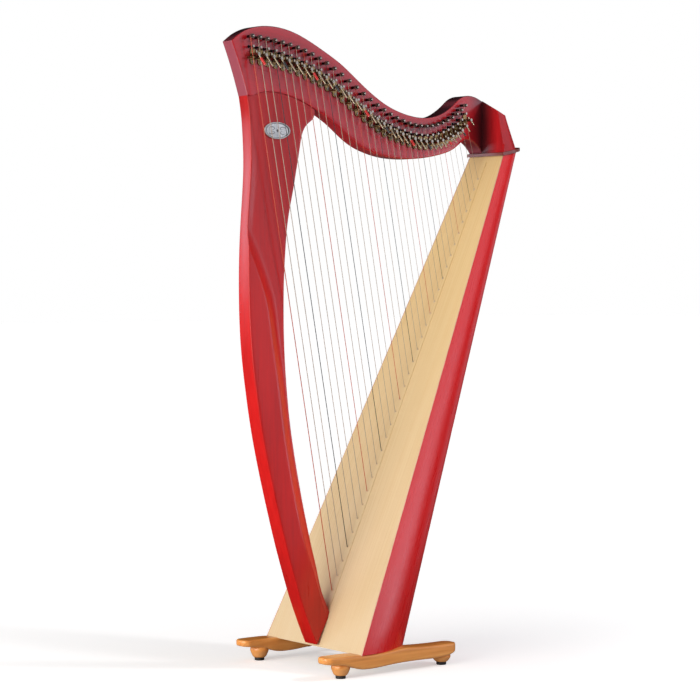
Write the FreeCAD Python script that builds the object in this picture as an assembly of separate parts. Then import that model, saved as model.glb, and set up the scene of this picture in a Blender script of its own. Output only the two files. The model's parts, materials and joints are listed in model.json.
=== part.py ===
import FreeCAD, Part
import math
import os

# Lever harp with 34 strings, in millimetres, +Z up, floor at Z = 0.
# X runs from the pillar (-X) to the player (+X). Y runs across the harp, with the levers on the
# -Y side, called near here; +Y is far. X = 0 is the soundboard's bottom edge.
# At export every piece moves by -ORIGIN_X, to the middle of the harp's footprint.
# The soundbox is built in board coordinates: s up the soundboard's centre line, y across, and
# n out of its face towards the strings (n < 0 is inside the box).

V = FreeCAD.Vector
os.makedirs("parts", exist_ok=True)

ORIGIN_X = 184.75
CLEAR = 0.05                 # clearance between fitted parts
Y_AXIS = V(0, 1, 0)
Z_AXIS = V(0, 0, 1)

# ---- soundbox dimensions ----
BOX_BOTTOM_Z = 47.0
BOARD_TOP = (502.0, 1129.0)  # X, Z of the soundboard's top edge
BOARD_FOOT = (0.0, 49.0)     # X, Z of its reference bottom edge
BOARD_LEN = 1191.0
HALF_W_BOTTOM = 172.0        # half widths at both ends of the board
HALF_W_TOP = 58.5
DEPTH_BOTTOM = 175.0         # depths square to the board
DEPTH_TOP = 59.0
BOX_ENDS_S = (-70.0, 1270.0)   # the box is lofted past both ends, then trimmed
BOX_EXPONENT = 2.0 / 2.8     # squareness of the rounded back
SHELL_T = 6.0
BOARD_T = 5.0
BOARD_INSET = 2.4            # rim of the shell left visible beside the board
BOTTOM_BOARD_T = 10.0
TOP_BLOCK_H = 38.0
BRACE_S = (360.0, 570.0, 765.0)
BRACE_HALF_T = 6.0
BRACE_W = 14.0
STRIP_T = 1.0
INNER_STRIP_T = 4.0
INNER_FACE_N = -BOARD_T - INNER_STRIP_T   # inside face of the inner strip
# Oval holes in the back: s, half length up the box, half width
SOUND_HOLES = [
    (255.0, 62.0, 40.0), (470.0, 54.0, 35.0), (670.0, 46.0, 30.0), (855.0, 38.0, 25.0),
]

# ---- top plate, neck and shoulder dimensions ----
PLATE_T = 7.0
PLATE_SLOPE = 0.20           # rise of the top plate per mm towards the player
PLATE_X0, PLATE_Z0 = 498.0, 1130.0   # a point on its underside
NECK_Y0, NECK_Y1 = 15.0, 50.0
FLARE_Y = 61.0               # far side of the neck where it widens to the shoulder
SHOULDER_X = 503.5           # face of the shoulder block
CREST_SLOPE = 0.45           # fall of the shoulder's top per mm towards the player
ROOF_SLOPE = 0.46            # extra fall per mm towards the near side
ROOF_Y = 14.5                # where that fall starts

# Far side of the neck in plan: X, Y
FLARE = [
    (338.0, NECK_Y1), (350.0, NECK_Y1 + 0.9), (362.0, NECK_Y1 + 3.4),
    (373.0, NECK_Y1 + 6.6), (385.0, FLARE_Y - 1.6), (400.0, FLARE_Y),
]
# Side outline of the neck: X, Z. The joint is where the pillar meets it.
NECK_FRONT = [(-164.0, 1240.0), (-173.6, 1270.0), (-188.5, 1312.2), (-205.5, 1353.6)]
NECK_TOP = [
    (-205.5, 1353.6), (-188.7, 1366.9), (-161.9, 1381.2), (-125.6, 1389.6), (-82.9, 1390.0),
    (-39.9, 1381.8), (0.7, 1366.6), (47.9, 1343.8), (95.6, 1317.2), (119.7, 1300.2),
    (153.8, 1275.6), (188.6, 1252.9), (223.3, 1234.8), (258.3, 1222.5), (293.7, 1214.9),
    (329.3, 1212.8), (358.1, 1216.8), (390.7, 1229.2), (416.2, 1246.6), (434.7, 1261.0),
    (455.0, 1268.2), (482.2, 1266.4), (503.5, 1257.8),
]
NECK_BOTTOM = [
    (18.0, 1217.6), (49.0, 1202.2), (80.0, 1183.0), (96.5, 1170.8), (123.0, 1152.5),
    (148.0, 1139.6), (172.0, 1131.2), (217.0, 1121.0), (269.0, 1117.8), (323.0, 1121.2),
    (377.0, 1131.0), (414.0, 1143.5), (434.0, 1156.5), (450.0, 1166.8), (462.0, 1168.2),
    (477.0, 1162.5), (491.0, 1152.0), (503.5, 1137.0),
]
JOINT = [
    (-164.0, 1240.0), (-159.0, 1238.8), (-132.0, 1246.8), (-107.5, 1250.0), (-77.0, 1248.6),
    (-46.3, 1242.4), (-15.2, 1232.6), (18.0, 1217.6),
]

# ---- pillar dimensions ----
# Side outline from the joint down: X, Z. Both edges end on the soundboard's face.
PILLAR_FRONT = [
    (-164.0, 1240.0), (-158.5, 1205.0), (-155.0, 1155.0), (-154.5, 1102.0), (-158.5, 1040.0),
    (-163.5, 985.0), (-167.0, 930.0), (-168.8, 870.0), (-169.0, 820.0), (-167.6, 752.0),
    (-163.5, 684.0), (-154.5, 605.0), (-142.5, 525.0), (-128.0, 452.0), (-112.5, 385.0),
    (-97.5, 325.0), (-81.5, 265.0), (-66.0, 213.0), (-49.5, 161.0), (-29.5, 109.0),
    (-11.0, 68.0),
]
PILLAR_BACK = [
    (18.0, 1217.6), (14.2, 1199.0), (-2.8, 1184.5), (-14.4, 1168.0), (-21.0, 1145.0),
    (-26.4, 1115.0), (-32.8, 1084.0), (-41.6, 1041.0), (-52.0, 997.5), (-59.6, 954.0),
    (-64.2, 911.0), (-68.0, 867.0), (-70.4, 824.0), (-71.7, 781.0), (-72.2, 738.0),
    (-71.7, 695.0), (-70.1, 652.0), (-67.3, 609.0), (-63.8, 566.0), (-58.7, 522.0),
    (-52.3, 479.0), (-44.8, 435.0), (-36.4, 391.0), (-27.4, 347.0), (-17.6, 303.0),
    (-7.0, 259.0), (4.7, 214.0), (14.6, 170.0),
]
PILLAR_FOOT_X = (2.0, 33.0)  # where the front and back edges meet the board
# Edge of the carved hollow in both sides: X, Z
RELIEF = [
    (-172.5, 925.0), (-155.0, 887.0), (-137.2, 843.0), (-122.8, 800.0), (-112.6, 739.0),
    (-100.7, 660.0), (-90.5, 588.0), (-80.5, 510.0), (-70.5, 449.0), (-60.0, 392.0),
    (-48.5, 338.0), (-32.9, 278.0), (-7.0, 201.0),
]
# The pillar's two sides, and the floor of the hollow in each: Z, Y
SIDE_NEAR = [(40.0, -20.5), (930.0, 5.6), (1250.0, 15.0)]
SIDE_FAR = [(40.0, 22.0), (930.0, 47.0), (1250.0, 50.0)]
HOLLOW_NEAR = [
    (150.0, -9.0), (600.0, 4.5), (930.0, 14.0), (1010.0, 15.0), (1100.0, 15.0), (1260.0, 15.0),
]
HOLLOW_FAR = [
    (150.0, 20.0), (600.0, 32.0), (930.0, 41.0), (1010.0, 42.0), (1110.0, 45.5),
    (1220.0, 50.0), (1260.0, 50.0),
]
BADGE_X, BADGE_Z = -85.6, 1167.8
BADGE_HALF_X, BADGE_HALF_Z = 35.0, 18.5
BADGE_FACE_Y = NECK_Y0 - 1.7
BADGE_BACK_Y = NECK_Y0 + 0.8
BADGE_RIM = 3.0
BADGE_RECESS = 0.7

# ---- string stations, from the pillar to the player ----
NOTES = "cdefgab"
# X, Z of each tuning pin
TUNING_PIN_XZ = [
    (-162.2, 1364.8), (-142.3, 1363.2), (-122.3, 1361.2), (-102.3, 1358.8), (-82.2, 1355.8),
    (-62.1, 1352.1), (-42.1, 1347.5), (-22.1, 1342.1), (-2.1, 1335.5), (18.0, 1327.7),
    (38.3, 1318.5), (58.7, 1307.8), (79.3, 1295.9), (99.9, 1283.1), (120.3, 1270.0),
    (140.4, 1257.1), (160.1, 1245.0), (179.3, 1233.8), (198.2, 1223.9), (216.8, 1215.2),
    (235.2, 1207.8), (253.3, 1201.9), (270.9, 1197.4), (287.9, 1194.4), (304.4, 1193.0),
    (320.6, 1193.0), (336.5, 1194.5), (352.2, 1197.6), (367.6, 1202.1), (382.6, 1208.0),
    (397.2, 1215.3), (411.3, 1224.0), (424.9, 1233.8), (437.8, 1244.9),
]
# X, Z of each bridge pin
BRIDGE_PIN_XZ = [
    (-160.9, 1343.3), (-141.0, 1342.1), (-120.9, 1340.1), (-100.7, 1337.4), (-80.5, 1333.9),
    (-60.3, 1329.6), (-40.2, 1324.5), (-20.2, 1318.5), (-0.1, 1311.4), (20.0, 1303.2),
    (40.4, 1293.5), (61.0, 1282.3), (82.0, 1269.8), (103.0, 1256.4), (123.6, 1242.9),
    (143.7, 1230.1), (163.1, 1218.5), (181.9, 1208.4), (200.3, 1199.8), (218.7, 1192.4),
    (237.0, 1186.3), (255.2, 1181.2), (272.6, 1177.3), (289.2, 1174.5), (305.5, 1172.9),
    (321.8, 1172.7), (338.2, 1174.0), (354.1, 1176.9), (369.4, 1181.3), (384.0, 1187.1),
    (398.2, 1193.9), (412.1, 1201.7), (425.5, 1211.7), (438.2, 1225.9),
]
# s of each string's anchor in the soundboard
ANCHOR_S = [
    126.6, 160.8, 194.9, 228.6, 262.1, 295.3, 328.3, 361.0, 393.5, 425.7, 457.7, 489.4,
    520.9, 552.2, 583.2, 614.0, 644.6, 675.0, 705.2, 735.1, 764.8, 794.4, 823.7, 852.8,
    881.7, 910.5, 939.0, 967.4, 995.6, 1023.6, 1051.4, 1079.0, 1106.5, 1133.8,
]
STRING_COUNT = len(ANCHOR_S)

# ---- string hardware dimensions ----
TUNING_R = 3.0
TUNING_Y0 = -4.4             # near end of the tuning pin's full radius
TUNING_TIP = 1.6             # length of its tapered near end
TUNING_OUT = 4.0             # round shaft beyond the neck's far side
DRIVE_W, DRIVE_L = 4.2, 10.0   # square drive beyond the shaft
COIL_Y0, COIL_W = -2.6, 5.6
BRIDGE_R = 2.0
BRIDGE_Y0 = -4.0
PIN_DEPTH = 10.0             # depth of a bridge pin in the neck
EYELET_R = 2.2
FLANGE_R, FLANGE_T = 3.2, 0.8
KNOT_R = 2.6
WASHER_R, WASHER_T = 4.2, 1.5

# ---- lever dimensions ----
LEVER_PLATE_T = 2.4
LEVER_PLATE_Y = NECK_Y0 - LEVER_PLATE_T   # near face of the lever's base plate
HUB_Y0, HUB_Y1 = -9.6, 4.0
PIVOT_R = 2.0
PIVOT_Y0 = HUB_Y0 - CLEAR    # near end of the pivot pin
POST_Y0 = HUB_Y1 + CLEAR     # shoulder behind the hub
CAM_TIP_R = 1.6
CAM_HALF_W = 2.6
STUB_R = 1.3
STUB_Y0 = -3.5
SCREW_HOLE_R = 1.15
SCREW_HEAD_T = 1.3
CAP_T = 1.0
SLOT_HALF_W = 0.35
HANDLE_ANGLE = math.radians(-70.0)   # below +X
HANDLE_SLOPE = 0.52          # how far the handle leans to -Y per mm of reach

# ---- base dimensions ----
RUNNER_Y_OUT, RUNNER_Y_IN = 171.5, 127.5
RUNNER_CORNER = 15.0         # clipped corners in plan
# Side outline of a runner: X, Z; top towards the player, then bottom back to the pillar
RUNNER_TOP = [
    (-94.0, 49.5), (-74.0, 49.5), (-40.0, 49.5), (-8.0, 48.6), (10.0, 47.0), (60.0, 47.0),
    (92.0, 49.4), (116.0, 51.4), (142.0, 51.0), (176.0, 49.6), (230.0, 48.5), (258.0, 48.5),
    (272.0, 48.5),
]
RUNNER_BOTTOM = [
    (272.0, 31.0), (254.0, 25.0), (236.0, 21.5), (215.0, 20.2), (170.0, 20.6), (120.0, 20.6),
    (75.0, 18.6), (45.0, 16.6), (20.0, 16.2), (0.0, 17.6), (-18.0, 22.0), (-40.0, 29.0),
    (-66.0, 33.0), (-94.0, 36.0),
]
FEET = [(-39.0, 31.0), (242.0, 24.0)]   # X of a foot, Z of its top
FOOT_Y = 147.0
FOOT_SEAT_R = 18.8
PAD_R, PAD_H = 11.0, 7.0
BOLT_R = 3.0
BOX_BOLT_X = (44.0, 96.0)    # bolts up into the bottom board
BOX_BOLT_Y = 146.0
BOX_BOLT_DEPTH = 8.0
BOLT_HEAD_R, BOLT_HEAD_T = 6.0, 4.0
BOLT_HEAD_Z = 21.0           # top of the bolt head

# ---- helpers ----
BOARD_RUN = math.hypot(BOARD_TOP[0] - BOARD_FOOT[0], BOARD_TOP[1] - BOARD_FOOT[1])
DX = (BOARD_TOP[0] - BOARD_FOOT[0]) / BOARD_RUN
DZ = (BOARD_TOP[1] - BOARD_FOOT[1]) / BOARD_RUN
OUT_OF_BOARD = V(-DZ, 0, DX)
INTO_BOARD = V(DZ, 0, -DX)

PIECES = {}


def put(name, shapes):
    """Register the solids of one shape or a list of shapes as a piece."""
    shapes = shapes if isinstance(shapes, list) else [shapes]
    solids = [solid for shape in shapes for solid in shape.Solids]
    PIECES[name] = Part.makeCompound(solids) if len(solids) > 1 else solids[0]


def board(s, y, n):
    """Point at board coordinates s, y, n."""
    return V(BOARD_FOOT[0] + DX * s - DZ * n, y, BOARD_FOOT[1] + DZ * s + DX * n)


def on_board(x):
    """(X, Z) of the board's face at x."""
    return (x, BOARD_FOOT[1] + (x - BOARD_FOOT[0]) * DZ / DX)


def xz(points, y):
    return [V(p[0], y, p[1]) for p in points]


def spline(points):
    curve = Part.BSplineCurve()
    curve.interpolate(points)
    return curve.toShape()


def lines(points):
    return [Part.makeLine(a, b) for a, b in zip(points, points[1:])]


def polygon(points):
    return Part.Face(Part.makePolygon(points + [points[0]]))


def prism_xz(curves, y0, y1):
    """Extrude an outline made of (X, Z) lists: two points give a line, more a spline."""
    edges = []
    for curve in curves:
        points = xz(curve, y0)
        edges.append(Part.makeLine(*points) if len(points) == 2 else spline(points))
    return Part.Face(Part.Wire(edges)).extrude(V(0, y1 - y0, 0))


def poly_prism_xz(points, y0, y1):
    return polygon(xz(points, y0)).extrude(V(0, y1 - y0, 0))


def box(x0, x1, y0, y1, z0, z1):
    return Part.makeBox(x1 - x0, y1 - y0, z1 - z0, V(x0, y0, z0))


def cyl_y(radius, length, x, y, z):
    return Part.makeCylinder(radius, length, V(x, y, z), Y_AXIS)


def cyl_z(radius, length, x, y, z):
    return Part.makeCylinder(radius, length, V(x, y, z), Z_AXIS)


def cyl_board(radius, length, s, n):
    """Cylinder on the centre line, from height n down into the board."""
    return Part.makeCylinder(radius, length, board(s, 0, n), INTO_BOARD)


def rod(start, end, radius):
    run = end.sub(start)
    return Part.makeCylinder(radius, run.Length, start, run)


def ellipse_face(half_x, half_y):
    return Part.Face(Part.Wire([Part.Ellipse(V(0, 0, 0), half_x, half_y).toShape()]))


def lerp(table, t):
    """Value at t in a table of (t, value), held constant beyond its ends."""
    if t <= table[0][0]:
        return table[0][1]
    for a, b in zip(table, table[1:]):
        if t <= b[0]:
            return a[1] + (b[1] - a[1]) * (t - a[0]) / (b[0] - a[0])
    return table[-1][1]


def one(shape):
    """The shape as plain solids, without redundant splits."""
    solids = shape.removeSplitter().Solids
    return solids[0] if len(solids) == 1 else Part.makeCompound(solids)


def fillet(shape, radius, pick):
    """Round the edges that pick() selects."""
    edges = [e for e in shape.Edges if pick(e)]
    if not edges:
        return shape
    # Guards against edges the kernel can't round: they are left sharp.
    try:
        rounded = shape.makeFillet(radius, edges)
        if rounded.isValid() and abs(rounded.Volume - shape.Volume) < 0.05 * shape.Volume:
            return rounded
    except Exception:
        pass
    return shape


def plate_half_space(offset, limit_z):
    """Everything between limit_z and the plate's underside raised by offset."""
    def height(x):
        return PLATE_Z0 + offset + PLATE_SLOPE * (x - PLATE_X0)
    return poly_prism_xz(
        [(-400, height(-400)), (900, height(900)), (900, limit_z), (-400, limit_z)], -400, 400)


def board_plate(n0, n1, half0, half1, s0, s1):
    """Tapered plate parallel to the board; half widths are given at s = 0 and BOARD_LEN."""
    def half(s):
        return half0 + (half1 - half0) * s / BOARD_LEN
    face = polygon([
        board(s0, -half(s0), n0), board(s0, half(s0), n0),
        board(s1, half(s1), n0), board(s1, -half(s1), n0),
    ])
    return face.extrude(OUT_OF_BOARD * (n1 - n0))


def board_slab(n0, n1, s0, s1):
    """Plate parallel to the board and wider than the harp."""
    return board_plate(n0, n1, 400, 400, s0, s1)


def box_section(s, inset, front):
    """D-shaped section of the soundbox at s, offset inwards, its flat side at n = front."""
    t = s / BOARD_LEN
    half = HALF_W_BOTTOM + (HALF_W_TOP - HALF_W_BOTTOM) * t - inset
    depth = DEPTH_BOTTOM + (DEPTH_TOP - DEPTH_BOTTOM) * t - inset
    steps = 24
    arc = []
    for k in range(steps + 1):
        angle = math.pi * k / steps
        cosine, sine = math.cos(angle), math.sin(angle)
        y = math.copysign(abs(cosine) ** BOX_EXPONENT, cosine) * half
        n = -((sine if sine > 1e-9 else 0.0) ** BOX_EXPONENT) * depth
        arc.append(board(s, y, n))
    flat = [board(s, -half, 0), board(s, half, 0)]
    if front > 0:
        flat[1:1] = [board(s, -half, front), board(s, half, front)]
    return Part.Wire(Part.__sortEdges__([spline(arc)] + lines(flat)))


def box_body(inset, front):
    return Part.makeLoft([box_section(s, inset, front) for s in BOX_ENDS_S], True, True)


def d_plan(x0, x1, y0, y1, z, straight):
    """Plan of a D: flat at x0, sides straight to x0 + straight, rounded end reaching x1."""
    exponent = 2 / 2.6
    mid_y, half = (y0 + y1) / 2, (y1 - y0) / 2
    xs = x0 + straight
    arc = []
    for k in range(17):
        angle = -math.pi / 2 + math.pi * k / 16
        cosine, sine = math.cos(angle), math.sin(angle)
        x = xs + (x1 - xs) * (cosine if cosine > 1e-9 else 0) ** exponent
        y = mid_y + half * math.copysign(abs(sine) ** exponent, sine)
        arc.append(V(x, y, z))
    near_side = Part.makeLine(V(x0, y0, z), V(xs, y0, z))
    rest = lines([V(xs, y1, z), V(x0, y1, z), V(x0, y0, z)])
    return Part.Wire(Part.__sortEdges__([near_side, spline(arc)] + rest))


# ---- soundbox ----
UNDER_PLATE = plate_half_space(0.0, -300)
OVER_PLATE = plate_half_space(PLATE_T, 2000)
ABOVE_BASE = box(-400, 900, -400, 400, BOX_BOTTOM_Z, 2000)
BOX_OUTER = box_body(0.0, 0.0)
BOX_INNER = box_body(SHELL_T + 0.1, 0.0)
BEHIND_BOARD = board_slab(-500, -BOARD_T - CLEAR, -200, 1500)


def soundbox_shell():
    pocket = board_plate(
        -BOARD_T, 8.0, HALF_W_BOTTOM - BOARD_INSET, HALF_W_TOP - BOARD_INSET, -80, 1270)
    shell = BOX_OUTER.cut(box_body(SHELL_T, 4.0)).cut(pocket)
    shell = shell.common(UNDER_PLATE).common(ABOVE_BASE)
    for s, half_length, half_width in SOUND_HOLES:
        hole = ellipse_face(half_length, half_width)
        center = board(s, 0, -400)
        # Columns: up the board, towards -Y, out of the board, and the centre.
        placing = FreeCAD.Matrix(
            DX, 0, -DZ, center.x,
            0, -1, 0, center.y,
            DZ, 0, DX, center.z,
            0, 0, 0, 1)
        hole.transformShape(placing, True)
        shell = shell.cut(hole.extrude(OUT_OF_BOARD * 330.0))
    return one(shell)


def put_soundboard():
    """Soundboard and the two strips along its centre, drilled for the eyelets."""
    gap = BOARD_INSET + CLEAR
    panel = board_plate(-BOARD_T, 0.0, HALF_W_BOTTOM - gap, HALF_W_TOP - gap, -80, 1270)
    panel = panel.common(UNDER_PLATE).common(ABOVE_BASE)
    strip_outer = board_plate(0.0, STRIP_T, 12.0, 8.0, 92.0, 1176.0)
    strip_inner = board_plate(INNER_FACE_N, -BOARD_T, 20.0, 12.0, 70.0, 1150.0)
    holes = Part.makeCompound([cyl_board(EYELET_R + CLEAR, 40, s, 12) for s in ANCHOR_S])
    put("soundboard", one(panel.cut(holes)))
    put("string_strip_outer", one(strip_outer.cut(holes)))
    put("string_strip_inner", one(strip_inner.cut(holes)))


def bottom_board():
    layer = box(-400, 900, -400, 400, BOX_BOTTOM_Z, BOX_BOTTOM_Z + BOTTOM_BOARD_T)
    panel = one(BOX_INNER.common(BEHIND_BOARD).common(layer))
    for side in (1, -1):
        for x in BOX_BOLT_X:
            hole = cyl_z(BOLT_R + CLEAR, BOX_BOLT_DEPTH + 0.2,
                         x, side * BOX_BOLT_Y, BOX_BOTTOM_Z - 0.1)
            panel = one(panel.cut(hole))
    return panel


def top_block():
    block = BOX_INNER.common(BEHIND_BOARD).common(UNDER_PLATE)
    return one(block.cut(plate_half_space(-TOP_BLOCK_H, -300)))


def box_braces():
    """Slices of a band that follows the inside of the shell."""
    band = BOX_INNER.cut(box_body(SHELL_T + BRACE_W, 4.0))
    band = band.common(board_slab(-500, -BOARD_T - 12.0, -200, 1500))
    return [band.common(board_slab(-500, 10, s - BRACE_HALF_T, s + BRACE_HALF_T))
            for s in BRACE_S]


def top_plate():
    plate = Part.Face(d_plan(PLATE_X0, 575.0, -63.0, 63.0, 1080.0, 24.0))
    plate = plate.extrude(V(0, 0, 140)).cut(UNDER_PLATE).cut(OVER_PLATE)
    # The long edges of both faces, not the upright ones.
    plate = fillet(plate, 2.2, lambda e: e.Length > 20 and e.BoundBox.ZLength < 14)
    return one(plate)


# ---- neck and shoulder ----
def neck(holes):
    body = prism_xz(
        [NECK_FRONT, NECK_TOP, [NECK_TOP[-1], NECK_BOTTOM[-1]], NECK_BOTTOM[::-1],
         JOINT[::-1]],
        NECK_Y0, FLARE_Y + 6)
    # Trim the far side to the flare.
    flare = [V(x, y, 1000) for x, y in FLARE]
    start = V(-400, NECK_Y1, 1000)
    rest = [flare[-1], V(600, FLARE_Y, 1000), V(600, 200, 1000), V(-400, 200, 1000), start]
    edges = [Part.makeLine(start, flare[0]), spline(flare)] + lines(rest)
    body = body.cut(Part.Face(Part.Wire(edges)).extrude(V(0, 0, 600)))
    body = body.common(OVER_PLATE)
    return one(body.cut(Part.makeCompound(holes)))


def crest_z(x):
    return NECK_TOP[-1][1] - CREST_SLOPE * (x - SHOULDER_X)


def roof_tool():
    """Block above the near half of the crest, which falls away towards the lever side."""
    low = [V(x, y, crest_z(x) - ROOF_SLOPE * (ROOF_Y - y))
           for x, y in ((450.0, ROOF_Y), (450.0, -100.0), (650.0, -100.0), (650.0, ROOF_Y))]
    high = [V(p.x, p.y, 1500) for p in low]
    faces = [polygon(low), polygon(high)]
    for k in range(4):
        j = (k + 1) % 4
        faces.append(polygon([low[k], low[j], high[j], high[k]]))
    tool = Part.Solid(Part.Shell(faces))
    # The shell may close inside out.
    if tool.Volume < 0:
        tool.reverse()
    return tool


def cove():
    """Concave foot of the shoulder's face, where it meets the plate."""
    depth, height, z0 = 4.0, 20.0, 1136.0
    curve = []
    for k in range(9):
        angle = math.pi / 2 * k / 8
        curve.append((SHOULDER_X - depth * (1 - math.sin(angle)),
                      z0 + height * (1 - math.cos(angle))))
    outline = [(SHOULDER_X + 3, 1120), (SHOULDER_X - depth, 1120)] + curve
    outline.append((SHOULDER_X + 3, curve[-1][1]))
    return poly_prism_xz(outline, -61.0, NECK_Y0 - 0.2)


def shoulder_block():
    block = Part.makeLoft([
        d_plan(SHOULDER_X - 8, 567.0, -62.2, FLARE_Y, 1130.0, 30.0),
        d_plan(SHOULDER_X - 8, 524.5, -30.5, FLARE_Y - 2, 1270.0, 20.0),
    ], True, True)
    block = block.cut(box(300, SHOULDER_X, -200, 200, 1000, 1400))
    above_crest = [(400, crest_z(400)), (700, crest_z(700)), (700, 1600), (400, 1600)]
    block = block.cut(poly_prism_xz(above_crest, -300, 300))
    block = block.cut(roof_tool())
    return one(block.fuse(cove()).common(OVER_PLATE))


# ---- pillar ----
def side_tool(table, outer_y, smooth):
    """Solid between a side surface, given as (Z, Y), and the plane at outer_y."""
    points = [V(-400, y, z) for z, y in table]
    first, last = points[0], points[-1]
    edges = [spline(points)] if smooth else lines(points)
    edges += lines([
        last, V(-400, last.y, 1600), V(-400, outer_y, 1600), V(-400, outer_y, -100),
        V(-400, first.y, -100), first,
    ])
    return Part.Face(Part.Wire(edges)).extrude(V(800, 0, 0))


def badge_oval(half_x, half_z, y0, y1):
    face = ellipse_face(half_x, half_z)
    face.rotate(V(0, 0, 0), V(1, 0, 0), 90)
    face.translate(V(BADGE_X, y0, BADGE_Z))
    return face.extrude(V(0, y1 - y0, 0))


def badge_plate():
    """Oval plate with a raised rim on its near face."""
    recess = badge_oval(BADGE_HALF_X - BADGE_RIM, BADGE_HALF_Z - BADGE_RIM,
                        BADGE_FACE_Y - 1, BADGE_FACE_Y + BADGE_RECESS)
    plate = badge_oval(BADGE_HALF_X, BADGE_HALF_Z, BADGE_FACE_Y, BADGE_BACK_Y)
    return one(plate.cut(recess))


def pillar():
    front_foot, back_foot = [on_board(x) for x in PILLAR_FOOT_X]
    front = PILLAR_FRONT + [front_foot]
    back = PILLAR_BACK + [back_foot]
    body = prism_xz([front, [front_foot, back_foot], back[::-1], JOINT[::-1]], -80.0, 120.0)
    body = body.cut(side_tool(SIDE_NEAR, -300.0, False))
    body = body.cut(side_tool(SIDE_FAR, 300.0, False))
    # The hollows lie above and towards +X of the relief edge.
    start, end = RELIEF[0], RELIEF[-1]
    border = [end, (60, end[1]), (60, 1300), (-260, 1300), (-260, start[1] + 24), start]
    relief = prism_xz([RELIEF] + [list(pair) for pair in zip(border, border[1:])], -200, 200)
    near_hollow = side_tool(HOLLOW_NEAR, -300.0, True).common(relief)
    far_hollow = side_tool(HOLLOW_FAR, 300.0, True).common(relief)
    body = body.cut(near_hollow).cut(far_hollow)
    body = body.cut(badge_oval(BADGE_HALF_X + CLEAR, BADGE_HALF_Z + CLEAR,
                               -40.0, BADGE_BACK_Y))
    return one(body)


# ---- strings and their hardware ----
class Course:
    """One string with the places and sizes of everything that belongs to it."""

    def __init__(self, i):
        self.number = i + 1
        self.note = NOTES[i % 7]
        self.radius = 0.90 - 0.58 * (i / (STRING_COUNT - 1.0)) ** 0.8
        self.tuning_x, self.tuning_z = TUNING_PIN_XZ[i]
        self.bridge_x, self.bridge_z = BRIDGE_PIN_XZ[i]
        self.s = ANCHOR_S[i]
        self.foot = board(self.s, 0, STRIP_T + FLANGE_T + self.radius * 0.9)

        # The string bears on the pillar side of the bridge pin.
        run_x, run_z = self.foot.x - self.bridge_x, self.foot.z - self.bridge_z
        run = math.hypot(run_x, run_z)
        offset = BRIDGE_R + self.radius + 0.03
        self.bend = V(self.bridge_x + run_z / run * offset, 0,
                      self.bridge_z - run_x / run * offset)
        self.lean = math.atan2(run_x, -run_z)   # the string's angle from the vertical

        # Lever pivot, a cam's reach to the player's side of the string.
        self.size = 1.14 if i < 10 else 1.06 if i < 20 else 1.0
        self.cam_reach = 7.3 * self.size
        self.pivot_z = self.bridge_z - 14.5 * self.size
        self.string_x = self.bend.x + (self.bend.z - self.pivot_z) * math.tan(self.lean)
        gap = self.cam_reach + self.radius + 0.25
        self.pivot_x = self.string_x + gap / math.cos(self.lean)
        self.screw_z = self.pivot_z - 13.0 * self.size
        # Slimmer where the neck climbs and the levers crowd.
        self.hub_r, self.knob_r = (3.9, 1.9) if i < 26 else (3.4, 1.6)
        # Treble handles are shorter and slimmer, to swing past each other.
        crowd = max(0.0, (i - 22) / 11.0)
        slim = min(1.0, crowd * 1.5)
        self.handle_len = 22.5 * self.size - 10.2 * crowd ** 0.8
        self.handle_r = 1.75 - 0.35 * slim
        self.sleeve_r = 2.7 - 0.65 * slim
        self.sleeve_start = 9.0 - 2.5 * crowd


def harp_string(c):
    """String from inside the board over the bridge pin to the coil on the tuning pin."""
    top_x = min(c.tuning_x - (TUNING_R + c.radius + 0.03), c.bend.x + 1.5)
    top = V(top_x, 0, c.tuning_z)
    coil = cyl_y(TUNING_R + 1.9 * c.radius + 0.4, COIL_W, c.tuning_x, COIL_Y0, c.tuning_z)
    coil = coil.cut(cyl_y(TUNING_R + 0.04, 10, c.tuning_x, COIL_Y0 - 2, c.tuning_z))
    end = board(c.s, 0, INNER_FACE_N - 0.8)
    return one(rod(c.foot, c.bend, c.radius).fuse([
        rod(c.bend, top, c.radius),
        Part.makeSphere(c.radius, c.bend),
        Part.makeSphere(c.radius, c.foot),
        rod(c.foot, end, c.radius),
        coil,
    ]))


def eyelet(c):
    """Flanged tube through the strips and the board."""
    top = STRIP_T + FLANGE_T
    tube = cyl_board(EYELET_R, top - INNER_FACE_N - 0.5, c.s, top)
    tube = tube.fuse(cyl_board(FLANGE_R, FLANGE_T, c.s, top))
    return one(tube.cut(cyl_board(c.radius + 0.25, 30, c.s, STRIP_T + 5)))


def knot(c):
    """Disc and ball against the inside face of the inner strip."""
    disc = cyl_board(WASHER_R, WASHER_T, c.s, INNER_FACE_N)
    body = disc.fuse(Part.makeSphere(KNOT_R, board(c.s, 0, INNER_FACE_N - KNOT_R)))
    return one(body.cut(cyl_board(c.radius + 0.05, 5 - INNER_FACE_N + 1.0, c.s, 5)))


def tuning_pin(c):
    """Round shaft through the neck with a square drive on the far side."""
    x, z = c.tuning_x, c.tuning_z
    shaft_y1 = lerp(FLARE, x) + TUNING_OUT
    pin = cyl_y(TUNING_R, shaft_y1 - TUNING_Y0, x, TUNING_Y0, z)
    pin = pin.fuse(Part.makeCone(TUNING_R - 1.1, TUNING_R, TUNING_TIP,
                                 V(x, TUNING_Y0 - TUNING_TIP, z), Y_AXIS))
    half = DRIVE_W / 2
    drive = box(x - half, x + half, shaft_y1, shaft_y1 + DRIVE_L, z - half, z + half)
    return one(pin.fuse(drive))


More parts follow.
